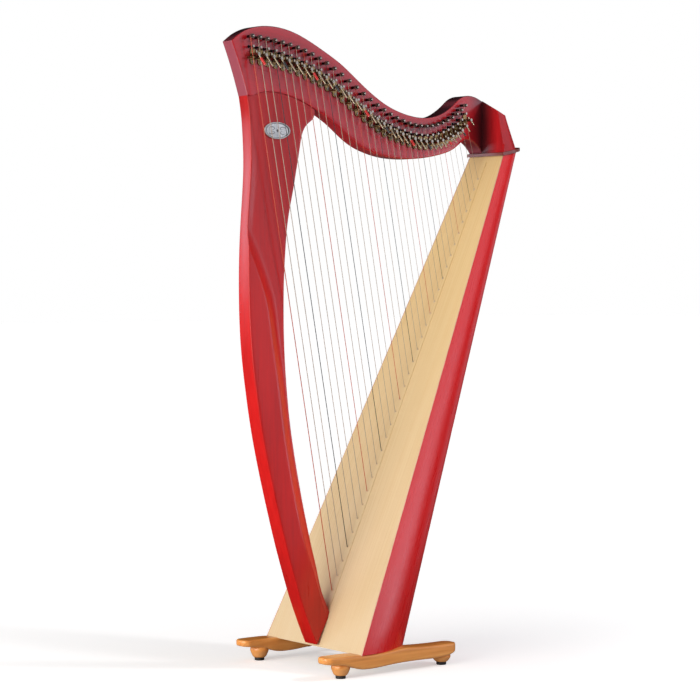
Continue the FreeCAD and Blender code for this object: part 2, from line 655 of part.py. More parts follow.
def bridge_pin(c):
    """Pin with a small head at its near end and a collar against the neck."""
    x, z = c.bridge_x, c.bridge_z
    pin = cyl_y(BRIDGE_R, NECK_Y0 + PIN_DEPTH - BRIDGE_Y0, x, BRIDGE_Y0, z)
    pin = pin.fuse(cyl_y(2.7, 1.6, x, BRIDGE_Y0 - 0.2, z))
    return one(pin.fuse(cyl_y(3.2, 1.2, x, NECK_Y0 - 1.2, z)))


def neck_holes(c):
    """Holes for the tuning pin, the bridge pin and the lever's screw."""
    return [
        cyl_y(TUNING_R + CLEAR, 80, c.tuning_x, NECK_Y0 - 5, c.tuning_z),
        cyl_y(BRIDGE_R + CLEAR, PIN_DEPTH + 0.2, c.bridge_x, NECK_Y0 - 0.1, c.bridge_z),
        cyl_y(SCREW_HOLE_R, 9.0, c.pivot_x, NECK_Y0 - 0.1, c.screw_z),
    ]


# ---- levers ----
def lever_base(c):
    """Rounded plate with a shouldered post, a pivot pin and a fret stub beside the string."""
    x, z, y = c.pivot_x, c.pivot_z, LEVER_PLATE_Y
    half = 5.4 * c.size
    top_z = z + 8.0 * c.size
    plate = box(x - half, x + half, y, NECK_Y0, c.screw_z, top_z)
    plate = plate.fuse([
        cyl_y(half, LEVER_PLATE_T, x, y, top_z),
        cyl_y(half, LEVER_PLATE_T, x, y, c.screw_z),
    ])
    stub_drop = 6.5 * c.size
    stub_z = z - stub_drop
    stub_gap = (c.radius + 0.45 + STUB_R) / math.cos(c.lean)
    stub_x = c.string_x + math.tan(c.lean) * stub_drop - stub_gap
    plate = plate.fuse(box(stub_x - STUB_R, x, y, NECK_Y0, stub_z - 1.9, stub_z + 1.9))
    base = plate.fuse([
        cyl_y(3.4, y - POST_Y0, x, POST_Y0, z),
        cyl_y(PIVOT_R, POST_Y0 - PIVOT_Y0, x, PIVOT_Y0, z),
        cyl_y(STUB_R, y - STUB_Y0, stub_x, STUB_Y0, stub_z),
        cyl_y(c.knob_r, 1.2, stub_x, STUB_Y0 - 1.2, stub_z),
    ])
    return one(base.cut(cyl_y(SCREW_HOLE_R, 6, x, NECK_Y0 - 4, c.screw_z)))


def slotted_head(radius, thickness, x, y, z, slot_half_len, slot_depth):
    head = cyl_y(radius, thickness, x, y, z)
    return head.cut(box(x - slot_half_len, x + slot_half_len, y, y + slot_depth,
                        z - SLOT_HALF_W, z + SLOT_HALF_W))


def lever_screws(c):
    """Screw that holds the base to the neck, and slotted cap on the pivot pin."""
    screw = slotted_head(2.4, SCREW_HEAD_T, c.pivot_x, LEVER_PLATE_Y - SCREW_HEAD_T,
                         c.screw_z, slot_half_len=3, slot_depth=0.5)
    screw = screw.fuse(cyl_y(1.05, 11.0, c.pivot_x, LEVER_PLATE_Y, c.screw_z))
    cap = slotted_head(3.1, CAP_T, c.pivot_x, PIVOT_Y0 - CAP_T, c.pivot_z,
                       slot_half_len=4, slot_depth=0.4)
    return [one(screw), one(cap)]


def cam(c):
    """Tapered lobe pointing up along the string, with a round tip."""
    x, z = c.pivot_x, c.pivot_z
    angle = math.pi / 2 + c.lean
    along_x, along_z = math.cos(angle), math.sin(angle)
    tip_x = x + along_x * (c.cam_reach - CAM_TIP_R)
    tip_z = z + along_z * (c.cam_reach - CAM_TIP_R)
    side_x, side_z = -along_z, along_x
    root = c.hub_r - 0.5
    lobe = poly_prism_xz([
        (x + side_x * root, z + side_z * root),
        (tip_x + side_x * CAM_TIP_R, tip_z + side_z * CAM_TIP_R),
        (tip_x - side_x * CAM_TIP_R, tip_z - side_z * CAM_TIP_R),
        (x - side_x * root, z - side_z * root),
    ], -CAM_HALF_W, CAM_HALF_W)
    return lobe.fuse(cyl_y(CAM_TIP_R, 2 * CAM_HALF_W, tip_x, -CAM_HALF_W, tip_z))


def lever(c):
    """Hub, cam and a handle leaning outwards; C and F levers carry a sleeve."""
    x, z = c.pivot_x, c.pivot_z

    def on_handle(reach):
        return V(x + math.cos(HANDLE_ANGLE) * reach,
                 HUB_Y0 + c.handle_r - HANDLE_SLOPE * max(0.0, reach - 1.0),
                 z + math.sin(HANDLE_ANGLE) * reach)

    hub = cyl_y(c.hub_r, HUB_Y1 - HUB_Y0, x, HUB_Y0, z)
    end = on_handle(c.handle_len)
    handle = rod(on_handle(1.0), end, c.handle_r).fuse(Part.makeSphere(c.handle_r, end))
    body = hub.fuse([cam(c), handle]).cut(cyl_y(PIVOT_R + CLEAR, 40, x, -30, z))
    # Trim the handle's root flush with the hub's near end.
    body = body.cut(box(x - 6, x + 6, -40, HUB_Y0, z - 3.3, z + 6))
    solids = [one(body)]
    if c.note in "cf":
        sleeve = rod(on_handle(c.sleeve_start), on_handle(c.handle_len - 0.5), c.sleeve_r)
        bore = rod(on_handle(c.sleeve_start - 3.0), on_handle(c.handle_len + 4),
                   c.handle_r + 0.02)
        solids.append(one(sleeve.cut(bore)))
    return solids


# ---- base ----
def runner(side):
    """Runner along X on one side, seated under the soundbox."""
    y0, y1 = sorted((side * RUNNER_Y_IN, side * RUNNER_Y_OUT))
    body = prism_xz([
        RUNNER_TOP, [RUNNER_TOP[-1], RUNNER_BOTTOM[0]],
        RUNNER_BOTTOM, [RUNNER_BOTTOM[-1], RUNNER_TOP[0]],
    ], y0, y1)
    x0, x1, corner = RUNNER_TOP[0][0], RUNNER_TOP[-1][0], RUNNER_CORNER
    plan = [
        (x0, y0 + corner), (x0 + corner, y0), (x1 - corner, y0), (x1, y0 + corner),
        (x1, y1 - corner), (x1 - corner, y1), (x0 + corner, y1), (x0, y1 - corner),
    ]
    body = body.common(polygon([V(x, y, -10) for x, y in plan]).extrude(V(0, 0, 100)))
    body = body.cut(BOX_OUTER.common(ABOVE_BASE))
    # The same seat once more, close to the board's bottom edge.
    edge_zone = board_slab(-1.0, 60.0, -60, 200)
    edge_zone = edge_zone.common(box(-60, 20, -400, 400, BOX_BOTTOM_Z, 60))
    return body.cut(edge_zone.common(BOX_OUTER))


def ball_foot(x, y, top):
    """Turned foot from the pad up to the runner."""
    height = top - PAD_H
    side = [
        V(18.6, 0, top), V(20.4, 0, top - 0.22 * height), V(20.2, 0, top - 0.42 * height),
        V(17.8, 0, top - 0.68 * height), V(14.6, 0, PAD_H + 1.6), V(12.4, 0, PAD_H),
    ]
    edges = [Part.makeLine(V(0, 0, top), side[0]), spline(side)]
    edges += lines([side[-1], V(0, 0, PAD_H), V(0, 0, top)])
    foot = Part.Face(Part.Wire(edges)).revolve(V(0, 0, 0), Z_AXIS, 360)
    foot.translate(V(x, y, 0))
    return foot


def foot_pad(x, y):
    pad = cyl_z(PAD_R, PAD_H, x, y, 0)
    return fillet(pad, 1.2, lambda e: abs(e.BoundBox.ZMax) < 0.01)


def put_base():
    """Runners with their ball feet, pads and bolts."""
    balls, pads, bolts = [], [], []
    hole_r = BOLT_R + CLEAR
    for side, name in ((1, "base_runner_left"), (-1, "base_runner_right")):
        body = runner(side)
        y = side * FOOT_Y
        for x, top in FEET:
            body = body.cut(cyl_z(FOOT_SEAT_R, top, x, y, 0))
            ball = ball_foot(x, y, top).cut(body)
            balls.append(one(ball.cut(cyl_z(hole_r, 60, x, y, PAD_H - 1))))
            body = body.cut(cyl_z(hole_r, 12.0, x, y, top - 0.5))
            pads.append(foot_pad(x, y))
            bolts.append(cyl_z(BOLT_R, top + 11.0 - PAD_H, x, y, PAD_H))
        y = side * BOX_BOLT_Y
        for x in BOX_BOLT_X:
            body = body.cut(cyl_z(BOLT_HEAD_R + 0.1, BOLT_HEAD_Z, x, y, 0))
            body = body.cut(cyl_z(hole_r, 60, x, y, BOLT_HEAD_Z - 1))
            head = cyl_z(BOLT_HEAD_R, BOLT_HEAD_T, x, y, BOLT_HEAD_Z - BOLT_HEAD_T)
            shank_len = BOX_BOTTOM_Z + BOX_BOLT_DEPTH - BOLT_HEAD_Z
            bolts.append(one(head.fuse(cyl_z(BOLT_R, shank_len, x, y, BOLT_HEAD_Z))))
        put(name, one(body))
    put("ball_feet", balls)
    put("foot_pads", pads)
    put("base_bolts", bolts)


# ---- assembly and export ----
put("soundbox_shell", soundbox_shell())
put_soundboard()
put("bottom_board", bottom_board())
put("top_block", top_block())
put("box_braces", box_braces())
put("top_plate", top_plate())

courses = [Course(i) for i in range(STRING_COUNT)]
put("neck", neck([hole for c in courses for hole in neck_holes(c)]))
put("shoulder_block", shoulder_block())
put("badge_plate", badge_plate())
put("pillar", pillar())

put("strings_red", [harp_string(c) for c in courses if c.note == "c"])
put("strings_black", [harp_string(c) for c in courses if c.note == "f"])
put("strings_natural", [harp_string(c) for c in courses if c.note not in "cf"])
put("string_eyelets", [eyelet(c) for c in courses])
put("string_knots", [knot(c) for c in courses])
put("tuning_pins", [tuning_pin(c) for c in courses])
put("bridge_pins", [bridge_pin(c) for c in courses])
put("lever_bases", [lever_base(c) for c in courses])
put("lever_screws", [screw for c in courses for screw in lever_screws(c)])
for c in courses:
    put("lever_%02d_%s" % (c.number, c.note), lever(c))
put_base()

for name, piece in PIECES.items():
    shape = piece.copy()
    shape.translate(V(-ORIGIN_X, 0, 0))
    shape.exportStep("parts/%s.step" % name)
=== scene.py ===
# A small lever harp on two runners, standing on a white floor.
# X runs from the pillar (low X) towards the soundbox, which leans to high X.  Y runs across the
# harp, and the near side, with the pin ends and levers, is at low Y.  Z is up from the floor.
# Outlines are in millimetres with X = 0 at the soundboard's bottom edge; place() turns them
# into the frame's metres.
import json
import math
import bpy
import bmesh
import numpy as np
from mathutils import Vector, Matrix


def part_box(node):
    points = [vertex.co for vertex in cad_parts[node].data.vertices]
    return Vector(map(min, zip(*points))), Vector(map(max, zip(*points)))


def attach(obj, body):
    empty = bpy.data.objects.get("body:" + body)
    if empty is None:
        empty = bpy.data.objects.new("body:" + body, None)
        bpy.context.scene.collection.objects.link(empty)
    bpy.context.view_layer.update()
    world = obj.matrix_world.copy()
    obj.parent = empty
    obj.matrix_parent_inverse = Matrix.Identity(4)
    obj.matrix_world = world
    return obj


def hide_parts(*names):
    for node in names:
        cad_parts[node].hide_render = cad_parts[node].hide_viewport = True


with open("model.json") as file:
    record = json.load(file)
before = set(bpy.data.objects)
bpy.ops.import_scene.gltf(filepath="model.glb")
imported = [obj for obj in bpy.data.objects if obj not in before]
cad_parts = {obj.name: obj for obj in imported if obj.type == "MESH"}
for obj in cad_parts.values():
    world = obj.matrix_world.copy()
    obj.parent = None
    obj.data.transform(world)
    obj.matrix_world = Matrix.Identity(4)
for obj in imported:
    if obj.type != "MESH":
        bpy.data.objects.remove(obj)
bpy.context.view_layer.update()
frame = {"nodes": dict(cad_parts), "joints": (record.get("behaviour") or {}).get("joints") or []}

NODES = frame["nodes"]

# ------------------------------------------------------------------------------------------
# Design tables, in millimetres
FRAME_ORIGIN_X = 184.75          # where the frame's X = 0 lies in the outlines
BOARD_BOTTOM_Z = 49.0            # the soundboard's bottom edge
BOARD_RUN, BOARD_RISE, BOARD_LENGTH = 502.0, 1080.0, 1191.0


def board_z(x):
    """Height of the soundboard's surface at x."""
    return BOARD_BOTTOM_Z + x * BOARD_RISE / BOARD_RUN


# Outlines seen from the side, as (x, z)
NECK_FRONT = [(-164, 1240), (-173.6, 1270), (-188.5, 1312.2), (-205.5, 1353.6)]
NECK_TOP = [
    (-205.5, 1353.6), (-188.7, 1366.9), (-161.9, 1381.2), (-125.6, 1389.6), (-82.9, 1390),
    (-39.9, 1381.8), (0.7, 1366.6), (47.9, 1343.8), (95.6, 1317.2), (119.7, 1300.2),
    (153.8, 1275.6), (188.6, 1252.9), (223.3, 1234.8), (258.3, 1222.5), (293.7, 1214.9),
    (329.3, 1212.8), (358.1, 1216.8), (390.7, 1229.2), (416.2, 1246.6), (434.7, 1261),
    (455, 1268.2), (482.2, 1266.4), (503.5, 1257.8),
]
NECK_BOTTOM = [
    (18, 1217.6), (49, 1202.2), (80, 1183), (96.5, 1170.8), (123, 1152.5), (148, 1139.6),
    (172, 1131.2), (217, 1121), (269, 1117.8), (323, 1121.2), (377, 1131), (414, 1143.5),
    (434, 1156.5), (450, 1166.8), (462, 1168.2), (477, 1162.5), (491, 1152), (503.5, 1137.9),
]
# Where the pillar meets the neck, from front to back
JOINT = [
    (-164, 1240), (-159, 1238.8), (-132, 1246.8), (-107.5, 1250), (-77, 1248.6),
    (-46.3, 1242.4), (-15.2, 1232.6), (18, 1217.6),
]
# The pillar's two edges, from the joint down to the soundboard
PILLAR_FRONT = [
    (-164, 1240), (-158.5, 1205), (-155, 1155), (-154.5, 1102), (-158.5, 1040), (-163.5, 985),
    (-167, 930), (-168.8, 870), (-169, 820), (-167.6, 752), (-163.5, 684), (-154.5, 605),
    (-142.5, 525), (-128, 452), (-112.5, 385), (-97.5, 325), (-81.5, 265), (-66, 213),
    (-49.5, 161), (-30, 109), (-13, 68), (-5.5, board_z(1.5)),
]
PILLAR_BACK = [
    (18, 1217.6), (14.2, 1199), (-2.8, 1184.5), (-14.4, 1168), (-21, 1145), (-26.4, 1115),
    (-32.8, 1084), (-41.6, 1041), (-52, 997.5), (-59.6, 954), (-64.2, 911), (-68, 867),
    (-70.4, 824), (-71.7, 781), (-72.2, 738), (-71.7, 695), (-70.1, 652), (-67.3, 609),
    (-63.8, 566), (-58.7, 522), (-52.3, 479), (-44.8, 435), (-36.4, 391), (-27.4, 347),
    (-17.6, 303), (-7, 259), (4.7, 214), (14.6, 170), (33, board_z(33)),
]
# The carved edge on the pillar's sides; the hollow lies behind it
CARVED_EDGE = [
    (-172.5, 925), (-155, 887), (-137.2, 843), (-122.8, 800), (-112.6, 739), (-100.7, 660),
    (-90.5, 588), (-80.5, 510), (-70.5, 449), (-60, 392), (-48.5, 338), (-32.9, 278),
    (-7, 201), (9, 150), (20.4, 118), (30.6, 90),
]
RUNNER_TOP = [
    (-94, 49.5), (-74, 49.5), (-40, 49.5), (-8, 48.6), (10, 47), (60, 47), (92, 49.4),
    (116, 51.4), (142, 51), (176, 49.6), (230, 48.5), (258, 48.5), (272, 48.5),
]
RUNNER_BOTTOM = [
    (-94, 36), (-66, 33), (-40, 29), (-18, 22), (0, 17.6), (20, 16.2), (45, 16.6), (75, 18.6),
    (120, 20.6), (170, 20.6), (215, 20.2), (236, 21.5), (254, 25), (272, 31),
]
TUNING_PINS = [
    (-162.2, 1364.8), (-142.3, 1363.2), (-122.3, 1361.2), (-102.3, 1358.8), (-82.2, 1355.8),
    (-62.1, 1352.1), (-42.1, 1347.5), (-22.1, 1342.1), (-2.1, 1335.5), (18, 1327.7),
    (38.3, 1318.5), (58.7, 1307.8), (79.3, 1295.9), (99.9, 1283.1), (120.3, 1270),
    (140.4, 1257.1), (160.1, 1245), (179.3, 1233.8), (198.2, 1223.9), (216.8, 1215.2),
    (235.2, 1207.8), (253.3, 1201.9), (270.9, 1197.4), (287.9, 1194.4), (304.4, 1193),
    (320.6, 1193), (336.5, 1194.5), (352.2, 1197.6), (367.6, 1202.1), (382.6, 1208),
    (397.2, 1215.3), (411.3, 1224), (424.9, 1233.8), (437.8, 1244.9),
]
# Faces of the pillar and floors of its hollows, as (z, y)
SIDE_NEAR = [(40, -20.5), (930, 5.6), (1250, 15)]
SIDE_FAR = [(40, 22), (930, 47), (1250, 50)]
HOLLOW_NEAR = [
    (150, -9), (600, 4.5), (930, 14), (1010, 15.4), (1100, 16.2), (1200, 16.6), (1260, 16.6),
]
HOLLOW_FAR = [(150, 20), (600, 32), (930, 41), (1010, 42), (1110, 45.5), (1220, 48.6), (1260, 48.6)]


# ------------------------------------------------------------------------------------------
# Geometry helpers
def place(x, y, z):
    """Outline millimetres to the frame's metres."""
    return ((x - FRAME_ORIGIN_X) / 1000.0, y / 1000.0, z / 1000.0)


class Spline:
    """Natural cubic spline through 2-D points; call it with fractions of its arc length."""

    def __init__(self, points):
        points = np.array(points, float)
        spans = np.hypot(*np.diff(points, axis=0).T)
        count = len(points)
        matrix = np.zeros((count, count))
        target = np.zeros((count, 2))
        matrix[0, 0] = matrix[-1, -1] = 1
        for i in range(1, count - 1):
            before, after = spans[i - 1], spans[i]
            matrix[i, i - 1:i + 2] = before, 2 * (before + after), after
            target[i] = 6 * ((points[i + 1] - points[i]) / after - (points[i] - points[i - 1]) / before)
        self.bend = np.linalg.solve(matrix, target)
        self.points, self.spans = points, spans
        self.knots = np.concatenate([[0], np.cumsum(spans)])
        # table from arc length to the spline's own parameter
        self.parameter = np.linspace(0, self.knots[-1], 3000)
        steps = np.hypot(*np.diff(self.at_parameter(self.parameter), axis=0).T)
        travelled = np.concatenate([[0], np.cumsum(steps)])
        self.length = travelled[-1]
        self.fraction = travelled / self.length

    def at_parameter(self, u):
        last = len(self.spans) - 1
        i = np.clip(np.searchsorted(self.knots, u, side="right") - 1, 0, last)
        span = self.spans[i][:, None]
        a = (self.knots[i + 1] - u)[:, None] / span
        b = (u - self.knots[i])[:, None] / span
        bend = (a ** 3 - a) * self.bend[i] + (b ** 3 - b) * self.bend[i + 1]
        return a * self.points[i] + b * self.points[i + 1] + bend * span * span / 6

    def __call__(self, fraction):
        return self.at_parameter(np.interp(fraction, self.fraction, self.parameter))


def interpolate(table, t):
    """Straight-line lookup in a two-column table."""
    return np.interp(t, *np.array(table, float).T)


def smooth_table(table, samples):
    """Lookup in a two-column table along a spline through it."""
    points = Spline(table)(np.linspace(0, 1, samples))
    return lambda t: interpolate(points, t)


def ease(x):
    """Smooth step from 0 to 1."""
    x = np.clip(x, 0, 1)
    return x * x * (3 - 2 * x)


def round_inset(radius, distance):
    """How far a rounded edge draws in at a distance from its end."""
    rest = radius - min(distance, radius)
    return radius - math.sqrt(max(0.0, radius * radius - rest * rest))


# A quarter round of unit radius: steps in from the edge, and how far each draws back
CORNER = np.linspace(0, math.pi / 2, 6)
CORNER_IN = 1 - np.cos(CORNER)
CORNER_BACK = 1 - np.sin(CORNER)


def grid_faces(rows, columns):
    """Quads between closed rings of vertices."""
    faces = []
    for row in range(rows - 1):
        here, above = row * columns, (row + 1) * columns
        for c in range(columns):
            after = (c + 1) % columns
            faces.append((here + c, here + after, above + after, above + c))
    return faces


def slab_ring(line, y_near, y_far):
    """A ring out along the near face and back along the far face, over an (x, z) line."""
    near = [place(x, y, z) for (x, z), y in zip(line, y_near)]
    far = [place(x, y, z) for (x, z), y in zip(line[::-1], y_far[::-1])]
    return near + far


def slab_faces(rows, columns):
    """The skin over slab rings, closed with strips of quads at both ends."""
    faces = grid_faces(rows, columns)
    for start in (0, (rows - 1) * columns):
        end = start + columns
        for c in range(columns // 2 - 1):
            faces.append((start + c, start + c + 1, end - 2 - c, end - 1 - c))
    return faces


def smooth(mesh):
    for polygon in mesh.polygons:
        polygon.use_smooth = True


def turn_outward(mesh, merge=False):
    """Make face normals consistent, after joining coincident vertices if asked."""
    bm = bmesh.new()
    bm.from_mesh(mesh)
    if merge:
        bmesh.ops.remove_doubles(bm, verts=bm.verts, dist=1e-7)
    bmesh.ops.recalc_face_normals(bm, faces=bm.faces)
    bm.to_mesh(mesh)
    bm.free()


def add_piece(name, mesh, material, replaced=None):
    """Link a mesh as a piece that rides on the frame."""
    piece = bpy.data.objects.new(name, mesh)
    bpy.context.scene.collection.objects.link(piece)
    mesh.materials.append(material)
    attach(piece, "frame")
    if replaced:
        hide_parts(replaced)


def build_piece(name, verts, faces, material, replaced, smooth_angle):
    """Build a smooth-shaded piece in place of a CAD piece; returns its mesh."""
    mesh = bpy.data.meshes.new(name)
    mesh.from_pydata(verts, [], faces)
    mesh.validate()
    mesh.update()
    turn_outward(mesh, merge=True)
    smooth(mesh)
    mesh.set_sharp_from_angle(angle=math.radians(smooth_angle))
    add_piece(name, mesh, material, replaced)
    return mesh


def paint(mesh, material, chosen):
    """Give a further material to the polygons that chosen() picks."""
    mesh.materials.append(material)
    index = len(mesh.materials) - 1
    for polygon in mesh.polygons:
        if chosen(polygon):
            polygon.material_index = index


# ------------------------------------------------------------------------------------------
# Shader helpers
class Nodes:
    """Builds nodes in an emptied node tree."""

    def __init__(self, tree):
        self.tree = tree
        tree.nodes.clear()

    def feed(self, socket, value):
        """Link a socket to another, or set its value; colours may leave out alpha."""
        if isinstance(value, bpy.types.NodeSocket):
            self.tree.links.new(value, socket)
        elif socket.type == "RGBA" and len(value) == 3:
            socket.default_value = (*value, 1)
        else:
            socket.default_value = value

    def node(self, kind, inputs=None, **settings):
        node = self.tree.nodes.new(kind)
        for key, value in settings.items():
            setattr(node, key, value)
        for key, value in (inputs or {}).items():
            self.feed(node.inputs[key], value)
        return node

    def math(self, operation, *values):
        return self.node("ShaderNodeMath", dict(enumerate(values)), operation=operation).outputs[0]

    def weighted_sum(self, *pairs):
        """Sum of (socket, weight) pairs."""
        total = None
        for value, weight in pairs:
            part = self.math("MULTIPLY", value, weight)
            total = part if total is None else self.math("ADD", total, part)
        return total

    def separate(self, vector):
        return self.node("ShaderNodeSeparateXYZ", {0: vector}).outputs

    def remap(self, value, source, target=(0.0, 1.0), kind="LINEAR"):
        """Map the source range onto the target range."""
        inputs = dict(enumerate((value, *source, *target)))
        return self.node("ShaderNodeMapRange", inputs, interpolation_type=kind).outputs[0]

    def mix(self, factor, a, b, mode="MIX"):
        inputs = {0: factor, 6: a, 7: b}
        node = self.node("ShaderNodeMix", inputs, data_type="RGBA", blend_type=mode)
        return node.outputs[2]

    def ramp(self, factor, stops):
        """Colour ramp through (position, colour) stops."""
        node = self.node("ShaderNodeValToRGB", {0: factor})
        elements = node.color_ramp.elements
        while len(elements) > 1:
            elements.remove(elements[-1])
        elements[0].position, elements[0].color = stops[0][0], (*stops[0][1], 1)
        for position, color in stops[1:]:
            elements.new(position).color = (*color, 1)
        return node.outputs[0]


class Shader(Nodes):
    """A material around one Principled shader."""

    def __init__(self, name):
        self.material = bpy.data.materials.new(name)
        self.material.use_nodes = True
        super().__init__(self.material.node_tree)
        self.bsdf = self.node("ShaderNodeBsdfPrincipled")
        self.output = self.node("ShaderNodeOutputMaterial", {0: self.bsdf.outputs[0]})
        self.position = self.node("ShaderNodeTexCoord").outputs["Object"]

    def surface(self, **inputs):
        """Feed inputs of the Principled shader, with underscores for spaces."""
        for key, value in inputs.items():
            self.feed(self.bsdf.inputs[key.replace("_", " ")], value)

    def mapping(self, turn=(0, 0, 0), stretch=(1, 1, 1), shift=(0, 0, 0)):
        """Object coordinates turned, then scaled: grain runs along the smallest stretch."""
        turned = self.node("ShaderNodeMapping", {"Vector": self.position, "Rotation": turn})
        inputs = {"Vector": turned.outputs[0], "Scale": stretch, "Location": shift}
        return self.node("ShaderNodeMapping", inputs).outputs[0]

    def noise(self, detail, roughness, distortion=0.0, vector=None, **mapping):
        """Noise over the given vector, or over a mapping of the object coordinates."""
        return self.node("ShaderNodeTexNoise", {
            "Vector": vector or self.mapping(**mapping), "Scale": 1.0, "Detail": detail,
            "Roughness": roughness, "Distortion": distortion}).outputs["Fac"]

    def bevel(self, radius):
        return self.node("ShaderNodeBevel", {"Radius": radius}, samples=4).outputs[0]

    def bump(self, height, strength, distance, bevel=None):
        """Bump, over a bevelled normal if a bevel radius is given."""
        inputs = {"Strength": strength, "Distance": distance, "Height": height}
        if bevel:
            inputs["Normal"] = self.bevel(bevel)
        return self.node("ShaderNodeBump", inputs).outputs[0]


def scaled(color, red, green, blue):
    """The colour with its channels multiplied, held to 1."""
    return tuple(min(1, c * k) for c, k in zip(color, (red, green, blue)))


# ------------------------------------------------------------------------------------------
# Material recipes
def stained_wood(name, tint, turn, roughness=0.30, coat=0.30, figure=0.5, crease_shade=None, occlusion_shade=0.0):
    """Stained, lacquered hardwood: soft figure, fine grain and faint pores along turned X.

    crease_shade is painted shade that darkens the colour along one axis towards a crease: (axis, from,
    to, depth).
    occlusion_shade is how far painted shade darkens the colour between and under the fittings, where
    little light reaches.
    """
    s = Shader(name)
    fine = s.noise(turn=turn, stretch=(7, 150, 150), detail=5, roughness=0.6)
    broad = s.noise(turn=turn, stretch=(2.4, 26, 26), detail=4, roughness=0.55, distortion=0.5)
    cloud = s.noise(turn=turn, stretch=(6, 12, 12), shift=(3, 1, 2), detail=3, roughness=0.5)
    pores = s.noise(turn=turn, stretch=(45, 1100, 1100), detail=2, roughness=0.5)
    k = 0.5 * figure
    dark = scaled(tint, 1 - 0.62 * k, 1 - 1.1 * k, 1 - 0.9 * k)
    light = scaled(tint, 1 + 0.50 * k, 1 + 1.6 * k, 1 + 1.0 * k)
    pattern = s.weighted_sum((fine, 0.40), (broad, 0.35), (cloud, 0.25))
    color = s.ramp(pattern, [(0.36, dark), (0.50, tint), (0.64, light)])
    pore_share = s.remap(pores, source=(0.60, 0.74), target=(0.0, 0.10))
    color = s.mix(pore_share, color, scaled(dark, 0.3, 0.3, 0.3))
    # painted shade: the colour darkens along one axis towards a crease
    if crease_shade:
        axis, start, end, depth = crease_shade
        share = s.remap(s.separate(s.position)[axis], source=(start, end),
                        target=(0.0, depth), kind="SMOOTHSTEP")
        color = s.mix(share, color, scaled(tint, 0.10, 0.5, 0.6))
    # painted shade: ambient occlusion darkens the colour between and under the fittings
    if occlusion_shade:
        occlusion = s.node("ShaderNodeAmbientOcclusion", {"Distance": 0.024}, samples=6)
        share = s.remap(occlusion.outputs["AO"], source=(0.30, 0.92), target=(occlusion_shade, 0.0))
        color = s.mix(share, color, scaled(tint, 0.05, 0.5, 0.5))
    relief = s.math("ADD", fine, s.math("MULTIPLY", pores, 0.5))
    s.surface(
        Base_Color=color,
        Roughness=s.remap(fine, source=(0.3, 0.7), target=(roughness - 0.03, roughness + 0.07)),
        Normal=s.bump(relief, strength=0.035, distance=0.0005, bevel=0.0012),
        IOR=1.5, Coat_Weight=coat, Coat_Roughness=0.14, Specular_IOR_Level=0.42)
    return s


def spruce(name, tint, turn):
    """Pale spruce: fine straight grain lines running up the board, with soft silk."""
    s = Shader(name)
    flat = s.separate(s.mapping(turn=turn))
    warp = s.noise(turn=turn, stretch=(0.9, 6, 6), detail=2, roughness=0.5)
    across = s.math("ADD", flat[1], s.math("MULTIPLY", warp, 0.006))

    def lines(along_scale, across_scale, roughness):
        vector = s.node("ShaderNodeCombineXYZ", {
            0: s.math("MULTIPLY", flat[0], along_scale),
            1: s.math("MULTIPLY", across, across_scale)}).outputs[0]
        return s.noise(vector=vector, detail=3, roughness=roughness)

    grain = lines(along_scale=1.6, across_scale=520.0, roughness=0.6)
    band = lines(along_scale=0.7, across_scale=55.0, roughness=0.5)
    silk = s.noise(turn=turn, stretch=(150, 45, 45), detail=3, roughness=0.6)
    patch = s.noise(turn=turn, stretch=(4, 16, 16), detail=3, roughness=0.5)
    color = s.ramp(grain, [
        (0.34, scaled(tint, 0.90, 0.83, 0.74)), (0.48, tint),
        (0.62, scaled(tint, 1.03, 1.05, 1.10))])
    # each layer: pattern, range it fades in over, greatest share, colour factors
    for layer, source, share, factors in (
        (band, (0.35, 0.68), 0.45, (0.97, 0.92, 0.84)),
        (patch, (0.40, 0.66), 0.30, (1.04, 1.07, 1.16)),
        (silk, (0.52, 0.75), 0.10, (1.15, 1.2, 1.35)),
    ):
        mask = s.remap(layer, source=source, target=(0.0, share))
        color = s.mix(mask, color, scaled(tint, *factors))
    s.surface(
        Base_Color=color,
        Roughness=s.remap(grain, source=(0.3, 0.7), target=(0.48, 0.38)),
        Normal=s.bump(grain, strength=0.04, distance=0.0003, bevel=0.0006),
        IOR=1.48, Coat_Weight=0.12, Coat_Roughness=0.3, Specular_IOR_Level=0.4)
    return s


def honey_wood(name, tint):
    """Clear-lacquered hardwood with soft streaks along X."""
    s = Shader(name)
    fine = s.noise(stretch=(6, 190, 150), detail=5, roughness=0.6)
    streak = s.noise(turn=(0, 0.06, 0), stretch=(1.6, 60, 46), detail=4, roughness=0.6,
                     distortion=0.7)
    cloud = s.noise(stretch=(9, 18, 18), shift=(4, 2, 1), detail=3, roughness=0.5)
    pattern = s.weighted_sum((fine, 0.35), (streak, 0.45), (cloud, 0.20))
    color = s.ramp(pattern, [
        (0.36, scaled(tint, 0.70, 0.55, 0.42)), (0.50, tint),
        (0.64, scaled(tint, 1.25, 1.40, 1.7))])
    s.surface(
        Base_Color=color,
        Roughness=s.remap(fine, source=(0.3, 0.7), target=(0.30, 0.40)),
        Normal=s.bump(fine, strength=0.05, distance=0.0004, bevel=0.0035),
        IOR=1.5, Coat_Weight=0.35, Coat_Roughness=0.18)
    return s


def metal(name, color, roughness, scratch=0.08):
    """Metal with slight darker mottling; scratch is how much its roughness varies."""
    s = Shader(name)
    mottle = s.noise(stretch=(300, 300, 300), detail=4, roughness=0.6)
    dirt = s.remap(mottle, source=(0.45, 0.75), target=(0.0, 0.5))
    s.surface(
        Base_Color=s.mix(dirt, color, scaled(color, 0.55, 0.55, 0.55)),
        Roughness=s.remap(mottle, source=(0.3, 0.7),
                          target=(roughness - scratch, roughness + scratch)),
        Normal=s.bump(mottle, strength=0.05, distance=0.0002, bevel=0.0003),
        Metallic=1.0)
    return s


